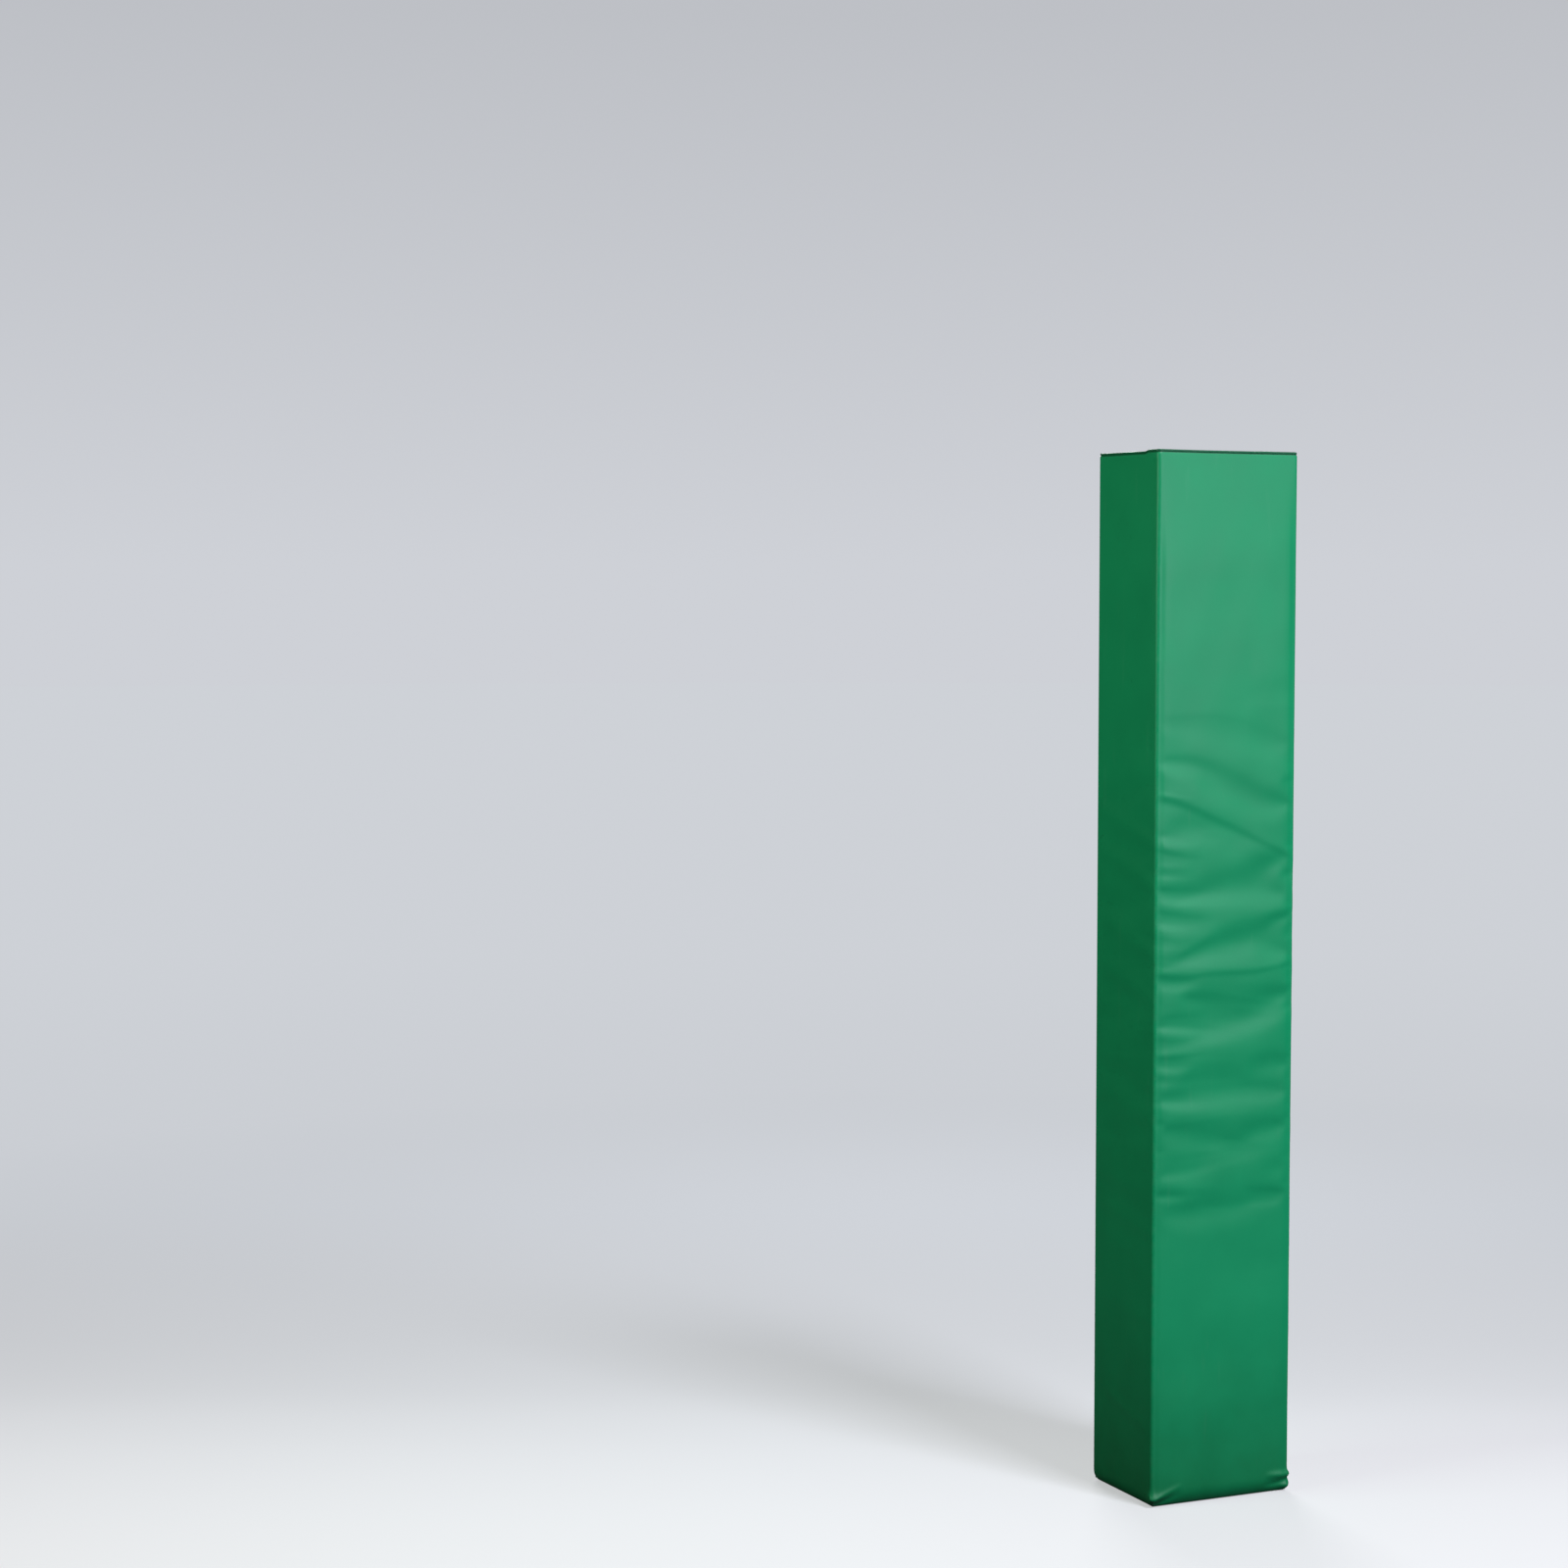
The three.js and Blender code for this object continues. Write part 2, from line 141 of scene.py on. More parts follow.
# Folds of the side covers, the same way, with the distance from the front edge
SIDE_FOLDS = (
    (0.06, (4, 1166, 8), (100, 1194, 15), (200, 1220, 9)),
    (-0.07, (4, 1147, 7), (100, 1170, 12), (200, 1197, 8)),
    (0.06, (4, 1095, 8), (100, 1127, 16), (200, 1156, 9)),
    (-0.07, (4, 1071, 7), (100, 1098, 12), (200, 1129, 8)),
    (0.06, (4, 975, 9), (100, 1012, 18), (200, 1047, 10)),
    (-0.07, (4, 951, 7), (100, 980, 13), (200, 1014, 9)),
    (0.05, (4, 898, 9), (100, 928, 15), (200, 957, 9)),
    (-0.06, (4, 875, 7), (100, 899, 12), (200, 928, 8)),
    (0.04, (4, 700, 12), (100, 722, 20), (200, 740, 12)),
    (-0.04, (4, 664, 10), (100, 682, 18), (200, 700, 12)),
    (0.04, (4, 490, 9), (100, 510, 16), (200, 526, 9)),
    (-0.05, (4, 470, 7), (100, 484, 12), (200, 502, 8)),
    (0.04, (4, 337, 9), (100, 349, 15), (200, 359, 9)),
    (-0.05, (4, 318, 7), (100, 326, 12), (200, 336, 8)),
    (0.09, (20, 146, 7), (80, 163, 9), (150, 184, 8)),
    (-0.09, (20, 130, 6), (80, 145, 8), (150, 166, 7)),
)


# Settings that a user can change


def number_setting(name, value, description, **rules):
    """A plain number that a user can change."""
    return FloatProperty(name=name, description=description, default=value, **rules)


def length_setting(name, value, description):
    """A length that a user can change."""
    return FloatProperty(name=name, description=description, default=value, unit="LENGTH")


def power_setting(name, value, description):
    """A lamp's power that a user can change."""
    return FloatProperty(name=name, description=description, default=value, unit="POWER")


def colour_setting(name, value, description):
    """A colour that a user can change."""
    return FloatVectorProperty(name=name, description=description, default=value, subtype="COLOR", size=3)


class PadShapeSettings(bpy.types.PropertyGroup):
    """Sizes of the cover and of the panels inside it."""

    vinyl_thickness: length_setting("Vinyl Thickness", 0.0009, "Thickness of the cover")
    front_corner: length_setting("Front Corner", 0.007, "Radius of the two front edges")
    rear_corner: length_setting("Rear Corner", 0.004, "Radius of the two rear edges")
    bottom_roll: length_setting("Bottom Roll", 0.012, "Radius where the cover turns under")
    hem_band: length_setting("Top Hem", 0.0042, "Height of the rolled hem along the top edge")
    front_crown: length_setting("Front Crown", 0.0015, "How far the foam swells the front face")
    side_crown: length_setting("Side Crown", 0.0012, "How far the foam swells each side face")
    fold_strength: number_setting("Fold Strength", 1.0, "Scale of the cover's folds", min=0.0, max=2.0)
    seam_inset: length_setting("Seam Inset", 0.03, "Distance from a front edge to where its cover starts")
    fold_reach: length_setting("Fold Reach", 0.015, "How far on each side of a front edge the cover bends")


class PadClothSettings(bpy.types.PropertyGroup):
    """How the cover settles as cloth between its seams."""

    slack: number_setting("Slack", 0.0026, "Spare height of the cover, as a share")
    stiffness: number_setting("Stiffness", 15.0, "Resistance of the vinyl to stretching")
    bending: number_setting("Bending", 5.0, "Resistance of the vinyl to bending")
    backing: number_setting("Backing", 0.1, "How firmly the foam behind holds the cover")
    push: number_setting("Push", 0.1, "Pressure of the foam from inside")
    frames: IntProperty(name="Frames", description="Steps of the cover's settling", default=20, min=12)
    side_share: number_setting("Side Share", 0.45, "Depth of the side folds beside the front ones")


class PadStrapSettings(bpy.types.PropertyGroup):
    """Sizes of the stitches and of the fastening tapes."""

    stitch_length: length_setting("Stitch Length", 0.003, "Length of one stitch")
    stitch_gap: length_setting("Stitch Gap", 0.001, "Space between two stitches")
    thread_radius: length_setting("Thread Radius", 0.0004, "Radius of the thread")
    hook_rows: IntProperty(name="Hook Rows", description="Rows of hooks or loops", default=28, min=4)


class PadColourSettings(bpy.types.PropertyGroup):
    """Colours of the pad's finishes."""

    cover: colour_setting("Cover", (0.002, 0.262, 0.098), "Vinyl of the outer cover")
    liner: colour_setting("Liner", (0.012, 0.013, 0.015), "Vinyl against the post")
    foam: colour_setting("Foam", (0.64, 0.585, 0.45), "Foam of the panels")
    webbing: colour_setting("Webbing", (0.010, 0.011, 0.013), "Straps")
    brass: colour_setting("Brass", (0.72, 0.52, 0.24), "Vent eyelets")
    cover_thread: colour_setting("Cover Thread", (0.006, 0.16, 0.07), "Thread of the cover's seams")
    strap_thread: colour_setting("Strap Thread", (0.05, 0.052, 0.058), "Thread of the straps")


class PadStageSettings(bpy.types.PropertyGroup):
    """Floor and light round the pad."""

    floor: colour_setting("Floor", (0.995, 0.985, 1.0), "Tint of the floor near the eye")
    far_floor: colour_setting("Far Floor", (0.972, 1.008, 1.07), "Tint of the floor behind the pad")
    floor_glow: number_setting("Floor Glow", 0.6, "Share of the floor's tone that no shadow darkens")
    distance: colour_setting("Distance", (0.618, 0.636, 0.678), "Colour of the air far off")
    key_power: power_setting("Key Power", 705.0, "Power of the main lamp")
    sheen_power: power_setting("Sheen Power", 80.0, "Power of the lamp that the front shines from")
    fill_power: power_setting("Fill Power", 29.5, "Power of the side lamp")
    rear_power: power_setting("Rear Power", 120.0, "Power of the lamp behind")
    mirrored_share: number_setting("Mirrored Share", 0.02, "Share of the backdrop mirrored by gloss")
    air_light: number_setting("Air Light", 0.045, "Level of the light from all round")


# Small helpers in numbers


def soft_step(value, start, end):
    """0 before start, 1 after end and smooth in between."""
    share = np.clip((value - start) / (end - start), 0, 1)
    return share * share * (3 - 2 * share)


def bell(distance, half):
    """1 at no distance, falling to about a third at half."""
    return np.exp(-((distance / half) ** 2))


def run_length(points):
    """How far along a line of points each of them lies."""
    return np.concatenate([[0], np.cumsum(np.linalg.norm(np.diff(points, axis=0), axis=1))])


def ripple(along, seed, length, amount):
    """A smooth wandering line of about that wave length, the same for the same seed."""
    draw = np.random.default_rng(seed)
    total = np.zeros_like(along, dtype=float)
    for _ in range(6):
        wave = length * draw.uniform(0.5, 1.6)
        total += draw.uniform(0.4, 1) * np.sin(2 * math.pi * along / wave + draw.uniform(0, 2 * math.pi))
    return amount * total / 2.2


def small_wrinkles(across, height, seed, amount):
    """Faint level wrinkles across the middle of the cover, the same for the same seed."""
    draw = np.random.default_rng(seed)
    total = np.zeros((len(height), len(across)))
    for _ in range(46):
        level, where = draw.uniform(0.48, 1.40), draw.uniform(-0.02, 0.30)
        half, reach = draw.uniform(0.005, 0.011), draw.uniform(0.03, 0.09)
        slope = draw.uniform(-0.25, 0.12)
        aside = across[None, :] - where
        path = height[:, None] - level - slope * aside
        total += draw.choice((-1, 1)) * draw.uniform(0.4, 1) * bell(path, half) * bell(aside, reach)
    return amount * total


def unevenness(across, height, seed, length, amount):
    """A smooth lumpy surface on a grid, the same for the same seed."""
    draw = np.random.default_rng(seed)
    total = np.zeros((len(height), len(across)))
    for _ in range(14):
        turn, wave = draw.uniform(0, math.pi), length * draw.uniform(0.5, 1.7)
        path = across[None, :] * math.cos(turn) + height[:, None] * math.sin(turn)
        total += draw.uniform(0.4, 1) * np.sin(2 * math.pi * path / wave + draw.uniform(0, 2 * math.pi))
    return amount * total / 3.2


def smoothed(values, spread, spacing):
    """Values along the first axis, blurred by a bell curve of that spread."""
    reach = int(3 * spread / spacing)
    weights = np.exp(-0.5 * (np.arange(-reach, reach + 1) * spacing / spread) ** 2)
    weights /= weights.sum()
    padded = np.concatenate([values[:1].repeat(reach, 0), values, values[-1:].repeat(reach, 0)])
    return np.apply_along_axis(lambda line: np.convolve(line, weights, "valid"), 0, padded)


def fold_heights(folds, across, height, drift):
    """How far the sheet stands out, from the lean of its folds. across and height are in metres."""
    step, track_step, blur, longest_fade = 0.0015, 0.001, 0.008, 0.014
    left_edge, right_edge, right_part = 0.012, 0.268, 0.24
    fine = np.arange(0, HEIGHT, step)
    track = np.arange(-0.02, 0.32, track_step)
    lean = np.zeros((len(fine), len(across)))
    for slope, *points in folds:
        where, level, half = np.array(points, float).T / 1000
        centre = smoothed(np.interp(track, where, level)[:, None], blur, track_step)[:, 0]
        spread = smoothed(np.interp(track, where, half)[:, None], blur, track_step)[:, 0]
        first, last = where[0], where[-1]
        fade = min(longest_fade, 0.3 * (last - first))
        strength = np.ones_like(across)
        if first > left_edge:
            strength = soft_step(across, first - fade, first + fade)
        if last < right_edge and first < left_edge:
            strength = np.clip(1 - across / (last + 0.025), 0, 1) ** 0.8 * 1.25
        elif last < right_edge:
            strength = strength * (1 - soft_step(across, last - fade, last + fade))
        elif first > right_part:
            strength = strength * soft_step(across, first - 0.02, 0.28)
        gap = (fine[:, None] - np.interp(across, track, centre)) / np.interp(across, track, spread)
        lean += slope * strength * np.exp(-gap * gap)
    stand = np.cumsum(lean[::-1], 0)[::-1] * step
    stand = stand - smoothed(stand, drift, step)
    return np.stack([np.interp(height, fine, stand[:, k]) for k in range(len(across))], 1)


# Small helpers in mesh


def grid_faces(rows, columns):
    """The four corners of each cell of a grid of points."""
    index = np.arange(rows * columns).reshape(rows, columns)
    return np.stack([index[:-1, :-1], index[:-1, 1:], index[1:, 1:], index[1:, :-1]], -1).reshape(-1, 4)


def grid_normals(points):
    """Outward direction at each point of a grid, rows upwards and columns anticlockwise from above."""
    along = np.gradient(points, axis=1)
    up = np.gradient(points, axis=0)
    outward = np.cross(along, up)
    return outward / np.maximum(np.linalg.norm(outward, axis=2, keepdims=True), 1e-12)


def new_object(name, mesh, finish):
    """Puts a finished mesh in the scene under one name, with its finish."""
    mesh.name = name
    piece = bpy.data.objects.new(name, mesh)
    bpy.context.scene.collection.objects.link(piece)
    piece.data.materials.clear()
    piece.data.materials.append(bpy.data.materials[finish])
    return piece


def smooth_mesh(name, points, faces):
    """A mesh of those points and faces, shaded smooth."""
    mesh = bpy.data.meshes.new(name)
    mesh.from_pydata(points, [], faces)
    mesh.polygons.foreach_set("use_smooth", np.ones(len(faces), bool))
    return mesh


def seed_mesh(name, points):
    """A mesh of loose points, for a tree to grow on."""
    mesh = bpy.data.meshes.new(name)
    mesh.from_pydata(points, [], [])
    return mesh


def closed_sheet(name, outer, thickness, finish, normals=None, uv=None, marks=None, shade=None, holes=()):
    """A sheet with a front, a back and rims, from a grid on its outer side. holes are cells left out."""
    rows, columns, _ = outer.shape
    normals = grid_normals(outer) if normals is None else normals
    inner = outer - normals * thickness
    count = rows * columns
    kept = np.ones((rows - 1, columns - 1), bool)
    for row, column in holes:
        kept[row, column] = False
    front = grid_faces(rows, columns)[kept.ravel()]
    back = front[:, ::-1] + count
    index = np.arange(count).reshape(rows, columns)
    open_cells = [(index[r, c], index[r, c + 1], index[r + 1, c + 1], index[r + 1, c]) for r, c in holes]
    open_edges = np.array([(a[k], a[(k + 1) % 4]) for a in open_cells for k in range(4)], int).reshape(-1, 2)
    bottom, top, left, right = index[0], index[-1], index[:, 0], index[:, -1]
    rims = np.concatenate([
        np.stack([bottom[:-1] + count, bottom[1:] + count, bottom[1:], bottom[:-1]], 1),
        np.stack([top[:-1], top[1:], top[1:] + count, top[:-1] + count], 1),
        np.stack([left[:-1] + count, left[:-1], left[1:], left[1:] + count], 1),
        np.stack([right[:-1], right[:-1] + count, right[1:] + count, right[1:]], 1),
        np.concatenate([open_edges, open_edges[:, ::-1] + count], 1),
    ])
    points = np.concatenate([outer.reshape(-1, 3), inner.reshape(-1, 3)])
    faces = np.concatenate([front, back, rims])
    mesh = smooth_mesh(name, points.tolist(), faces.tolist())
    corner = points[rims]
    rim_normals = np.cross(corner[:, 2] - corner[:, 0], corner[:, 3] - corner[:, 1])
    rim_normals /= np.maximum(np.linalg.norm(rim_normals, axis=1, keepdims=True), 1e-12)
    flat = normals.reshape(-1, 3)
    corners = np.concatenate([
        flat[front.ravel()], -flat[(back - count).ravel()], rim_normals.repeat(4, 0)
    ])
    mesh.normals_split_custom_set(corners.tolist())
    layer = mesh.uv_layers.new(name="cut")
    if uv is None:
        step_u = np.linalg.norm(np.diff(outer, axis=1), axis=2)
        step_v = np.linalg.norm(np.diff(outer, axis=0), axis=2)
        u = np.concatenate([[0], np.cumsum(step_u.mean(0))])
        v = np.concatenate([[0], np.cumsum(step_v.mean(1))])
        uv = np.stack(np.meshgrid(u, v), -1)
    both = np.concatenate([uv.reshape(-1, 2)] * 2)
    layer.data.foreach_set("uv", both[faces.ravel()].ravel())
    for label, values in (("edge_closeness", marks), ("seam_shade", shade)):
        if values is not None:
            layer = mesh.attributes.new(label, "FLOAT", "POINT")
            layer.data.foreach_set("value", np.concatenate([values.ravel()] * 2).astype(np.float32))
    mesh.validate(clean_customdata=False)
    return new_object(name, mesh, finish)


# Helpers in nodes


def feed(tree, socket, value):
    """Links a socket to another one, or sets it to a plain value."""
    if isinstance(value, bpy.types.NodeSocket):
        tree.links.new(value, socket)
    else:
        socket.default_value = value


def add(tree, kind, settings=None, **inputs):
    """A node with its settings and inputs.

    An input's name has _ for a space. It takes a value or a socket.
    """
    node = tree.nodes.new(kind)
    for label, value in (settings or {}).items():
        setattr(node, label, value)
    for label, value in inputs.items():
        feed(tree, node.inputs[label.replace("_", " ")], value)
    return node


def calculate(tree, operation, *values):
    """The result of a Math node on values or sockets."""
    node = add(tree, "ShaderNodeMath", {"operation": operation})
    for socket, value in zip(node.inputs, values):
        feed(tree, socket, value)
    return node.outputs[0]


def map_range(tree, value, low, high, new_low=0.0, new_high=1.0):
    """Carries a value from one range to another."""
    spans = {"From_Min": low, "From_Max": high, "To_Min": new_low, "To_Max": new_high}
    return add(tree, "ShaderNodeMapRange", Value=value, **spans).outputs["Result"]


def mix_colour(tree, share, first, second):
    """Mixes two colours by a share, each a socket or plain numbers."""
    node = add(tree, "ShaderNodeMix", {"data_type": "RGBA"}, Factor=share)
    for label, value in (("A", first), ("B", second)):
        socket = [s for s in node.inputs if s.name == label and s.type == "RGBA"][0]
        feed(tree, socket, (*value, 1) if isinstance(value, tuple) else value)
    return [s for s in node.outputs if s.type == "RGBA"][0]


def mix_shaders(tree, share, first, second):
    """Mixes two shaders by a share."""
    node = add(tree, "ShaderNodeMixShader", Fac=share)
    feed(tree, node.inputs[1], first)
    feed(tree, node.inputs[2], second)
    return node.outputs["Shader"]


def node_group(kind, name, inputs, outputs):
    """An empty node group with its own inputs and outputs, each a name, a kind and perhaps a value."""
    group = bpy.data.node_groups.new(name, kind)
    for label, socket_kind, *value in inputs:
        socket = group.interface.new_socket(label, in_out="INPUT", socket_type="NodeSocket" + socket_kind)
        if value:
            socket.default_value = value[0]
    for label, socket_kind in outputs:
        group.interface.new_socket(label, in_out="OUTPUT", socket_type="NodeSocket" + socket_kind)
    return group, add(group, "NodeGroupInput").outputs, add(group, "NodeGroupOutput").inputs


# Effects that more than one finish uses


def make_vinyl_grain():
    """Fine pebbled grain of coated fabric."""
    tree, given, result = node_group(
        "ShaderNodeTree", "vinyl_grain",
        [("Coordinates", "Vector"), ("Cells Per Metre", "Float", 1400.0)],
        [("Height", "Float"), ("Mottle", "Float")],
    )
    cells = add(tree, "ShaderNodeTexVoronoi", {"feature": "SMOOTH_F1"},
                Vector=given["Coordinates"], Scale=given["Cells Per Metre"], Smoothness=0.6)
    broad = add(tree, "ShaderNodeTexNoise", Vector=given["Coordinates"], Scale=9.0, Detail=4.0)
    feed(tree, result["Height"], cells.outputs["Distance"])
    feed(tree, result["Mottle"], broad.outputs["Fac"])


def make_handling_marks():
    """Pale dust on ledges, faint scuffs, and painted shade that darkens the lowest part."""
    tree, given, result = node_group(
        "ShaderNodeTree", "handling_marks",
        [
            ("Coordinates", "Vector"), ("Dust", "Float", 0.3),
            ("Scuffs", "Float", 0.2), ("Soil", "Float", 0.0),
        ],
        [("Dust", "Float"), ("Scuffs", "Float"), ("Soil", "Float")],
    )
    normal = add(tree, "ShaderNodeNewGeometry").outputs["Normal"]
    upward = calculate(tree, "MAXIMUM", add(tree, "ShaderNodeSeparateXYZ", Vector=normal).outputs["Z"], 0.0)
    level = add(tree, "ShaderNodeSeparateXYZ", Vector=given["Coordinates"]).outputs["Z"]
    noise = add(tree, "ShaderNodeTexNoise", Vector=given["Coordinates"], Scale=22.0, Detail=6.0)
    cloud = noise.outputs["Fac"]
    patchy = calculate(tree, "MULTIPLY", upward, cloud)
    feed(tree, result["Dust"], calculate(tree, "MULTIPLY", patchy, given["Dust"]))
    # Painted shade: the lowest part is darkened by height, with a little noise at its edge.
    wander = calculate(tree, "MULTIPLY_ADD", cloud, 0.12, level)
    low = calculate(tree, "POWER", map_range(tree, wander, 0.05, 0.42, 1.0, 0.0), 1.6)
    feed(tree, result["Soil"], calculate(tree, "MULTIPLY", low, given["Soil"]))
    stretch = add(tree, "ShaderNodeMapping", Vector=given["Coordinates"],
                  Scale=(60.0, 60.0, 7.0), Rotation=(0.5, 0.4, 0.3))
    streaks = add(tree, "ShaderNodeTexNoise", Vector=stretch.outputs["Vector"], Scale=1.0, Detail=5.0)
    sharp = map_range(tree, streaks.outputs["Fac"], 0.64, 0.74)
    feed(tree, result["Scuffs"], calculate(tree, "MULTIPLY", sharp, given["Scuffs"]))


def make_edge_rub():
    """Patchy rubbing along folded edges, from how close a point is to one."""
    tree, given, result = node_group(
        "ShaderNodeTree", "edge_rub",
        [("Coordinates", "Vector"), ("Closeness", "Float", 0.0), ("Amount", "Float", 0.3)],
        [("Rub", "Float")],
    )
    patches = add(tree, "ShaderNodeTexNoise", Vector=given["Coordinates"], Scale=60.0, Detail=6.0)
    closer = calculate(tree, "POWER", given["Closeness"], 2.0)
    rub = calculate(tree, "MULTIPLY", closer, map_range(tree, patches.outputs["Fac"], 0.42, 0.68))
    feed(tree, result["Rub"], calculate(tree, "MULTIPLY", rub, given["Amount"]))


def make_weave():
    """Over and under threads of a woven tape, on the piece's own map."""
    tree, given, result = node_group(
        "ShaderNodeTree", "weave",
        [("Map", "Vector"), ("Threads Along", "Float", 700.0), ("Threads Across", "Float", 900.0)],
        [("Height", "Float")],
    )
    place = add(tree, "ShaderNodeSeparateXYZ", Vector=given["Map"]).outputs
    waves = []
    for axis, threads in (("X", "Threads Along"), ("Y", "Threads Across")):
        count = calculate(tree, "MULTIPLY", place[axis], given[threads])
        waves.append(calculate(tree, "SINE", calculate(tree, "MULTIPLY", count, math.pi)))
    cross = calculate(tree, "MULTIPLY", *waves)
    feed(tree, result["Height"], calculate(tree, "MULTIPLY_ADD", cross, 0.5, 0.5))


# Finishes


def finish_base(name, colour, roughness, specular=0.5, metallic=0.0):
    """A new finish: its tree, its shader's sockets and the place on the object, ready for what varies."""
    finish = bpy.data.materials.new(name)
    finish.use_nodes = True
    shader = finish.node_tree.nodes["Principled BSDF"].inputs
    shader["Base Color"].default_value = (*colour, 1)
    shader["Roughness"].default_value = roughness
    shader["Metallic"].default_value = metallic
    shader["Specular IOR Level"].default_value = specular
    return finish.node_tree, shader, add(finish.node_tree, "ShaderNodeTexCoord").outputs["Object"]


def effect(tree, name, **inputs):
    """The outputs of a shared effect, placed in a finish with its own values."""
    return add(tree, "ShaderNodeGroup", {"node_tree": bpy.data.node_groups[name]}, **inputs).outputs


def toned(colour, scale, lift=0.0):
    """A colour made stronger or weaker, and lifted by an even amount."""
    return tuple(scale * c + lift for c in colour)


def bump(tree, shader, height, distance, strength):
    """Turns a height into the shader's normal."""
    node = add(tree, "ShaderNodeBump", Distance=distance, Strength=strength, Height=height)
    feed(tree, shader["Normal"], node.outputs["Normal"])


def vinyl_finish(name, colour, roughness, dust, rubbing, painted_low_shade):
    """Coated fabric: grain, mottling, dust, scuffs and rubbed edges, with painted shade over its lowest part
    and its hem's lip.
    """
    tree, shader, place = finish_base(name, colour, roughness, 0.3)
    grain = effect(tree, "vinyl_grain", Coordinates=place)
    marks = effect(tree, "handling_marks", Coordinates=place, Dust=dust, Scuffs=0.5 * dust, Soil=painted_low_shade)
    closeness = add(tree, "ShaderNodeAttribute", {"attribute_name": "edge_closeness"}).outputs["Fac"]
    # The hem's lip, marked on the cover's grid for painted shade.
    seam = add(tree, "ShaderNodeAttribute", {"attribute_name": "seam_shade"}).outputs["Fac"]
    rub = effect(tree, "edge_rub", Coordinates=place, Closeness=closeness, Amount=rubbing)
    mottle = map_range(tree, grain["Mottle"], 0.3, 0.7)
    tone = mix_colour(tree, mottle, toned(colour, 0.95), toned(colour, 1.04, 0.0005))
    chalky = toned(colour, 0.5, 0.25)
    # The last two layers are painted shade: dark green over the lowest part and a darker tone of the cover
    # over the hem's lip.
    layers = (
        (marks["Dust"], (0.36, 0.36, 0.33)), (rub["Rub"], chalky), (marks["Scuffs"], chalky),
        (marks["Soil"], (0.0, 0.05, 0.003)), (seam, toned(colour, 0.36)),
    )
    for share, layer in layers:
        tone = mix_colour(tree, share, tone, layer)
    feed(tree, shader["Base Color"], tone)
    dulled = calculate(tree, "MULTIPLY_ADD", marks["Dust"], 0.4, roughness)
    varied = calculate(tree, "MULTIPLY_ADD", grain["Mottle"], 0.08, dulled)
    feed(tree, shader["Roughness"], calculate(tree, "MULTIPLY_ADD", rub["Rub"], 0.2, varied))
    bump(tree, shader, grain["Height"], 0.00006, 0.35)


def foam_finish(name, colour):
    """Open foam with small cells."""
    tree, shader, place = finish_base(name, colour, 0.95, 0.1)
    cells = add(tree, "ShaderNodeTexVoronoi", Vector=place, Scale=650.0).outputs["Distance"]
    # Painted shade: the cells' hollows, where the bump sinks, are coloured darker.
    depth = map_range(tree, cells, 0.0, 0.6)
    feed(tree, shader["Base Color"], mix_colour(tree, depth, toned(colour, 0.7), colour))
    bump(tree, shader, cells, 0.0006, 0.8)


def webbing_finish(name, colour, along, across):
    """Woven tape, its raised threads painted lighter and the gaps between them darker, as painted sheen and
    shade.
    """
    tree, shader, place = finish_base(name, colour, 0.72, 0.35)
    own_map = add(tree, "ShaderNodeUVMap", {"uv_map": "cut"}).outputs["UV"]
    weave = effect(tree, "weave", Map=own_map, Threads_Along=along, Threads_Across=across)["Height"]
    dust = effect(tree, "handling_marks", Coordinates=place, Dust=0.25)["Dust"]
    # Painted sheen and shade: the weave's raised threads are lighter and the gaps between them darker.
    woven = mix_colour(tree, weave, colour, toned(colour, 2.1, 0.006))
    feed(tree, shader["Base Color"], mix_colour(tree, dust, woven, (0.3, 0.3, 0.28)))
    bump(tree, shader, weave, 0.0004, 0.7)


def pile_finish(name, colour, roughness):
    """Hooks or loops of a fastening tape, each a little different."""
    tree, shader, place = finish_base(name, colour, roughness, 0.35)
    speckle = add(tree, "ShaderNodeTexNoise", Vector=place, Scale=900.0).outputs["Fac"]
    feed(tree, shader["Base Color"], mix_colour(tree, speckle, colour, toned(colour, 2.4, 0.01)))
    bump(tree, shader, speckle, 0.0002, 0.5)


def thread_finish(name, colour):
    """Twisted sewing thread."""
    tree, shader, place = finish_base(name, colour, 0.55, 0.4)
    twist = add(tree, "ShaderNodeTexWave", Vector=place, Scale=500.0).outputs["Fac"]
    # Painted shade and highlight: the twist's grooves are coloured darker and its ridges lighter.
    feed(tree, shader["Base Color"], mix_colour(tree, twist, toned(colour, 0.7), toned(colour, 1.3)))
    bump(tree, shader, twist, 0.0001, 0.6)


def brass_finish(name, colour):
    """Stamped brass with a dull bloom."""
    tree, shader, place = finish_base(name, colour, 0.34, 0.5, 1.0)
    bloom = add(tree, "ShaderNodeTexNoise", Vector=place, Scale=260.0, Detail=5.0).outputs["Fac"]
    feed(tree, shader["Base Color"], mix_colour(tree, bloom, toned(colour, 0.62), colour))
    feed(tree, shader["Roughness"], map_range(tree, bloom, 0.3, 0.7, 0.26, 0.48))
    bump(tree, shader, bloom, 0.00005, 0.4)


# The outer cover


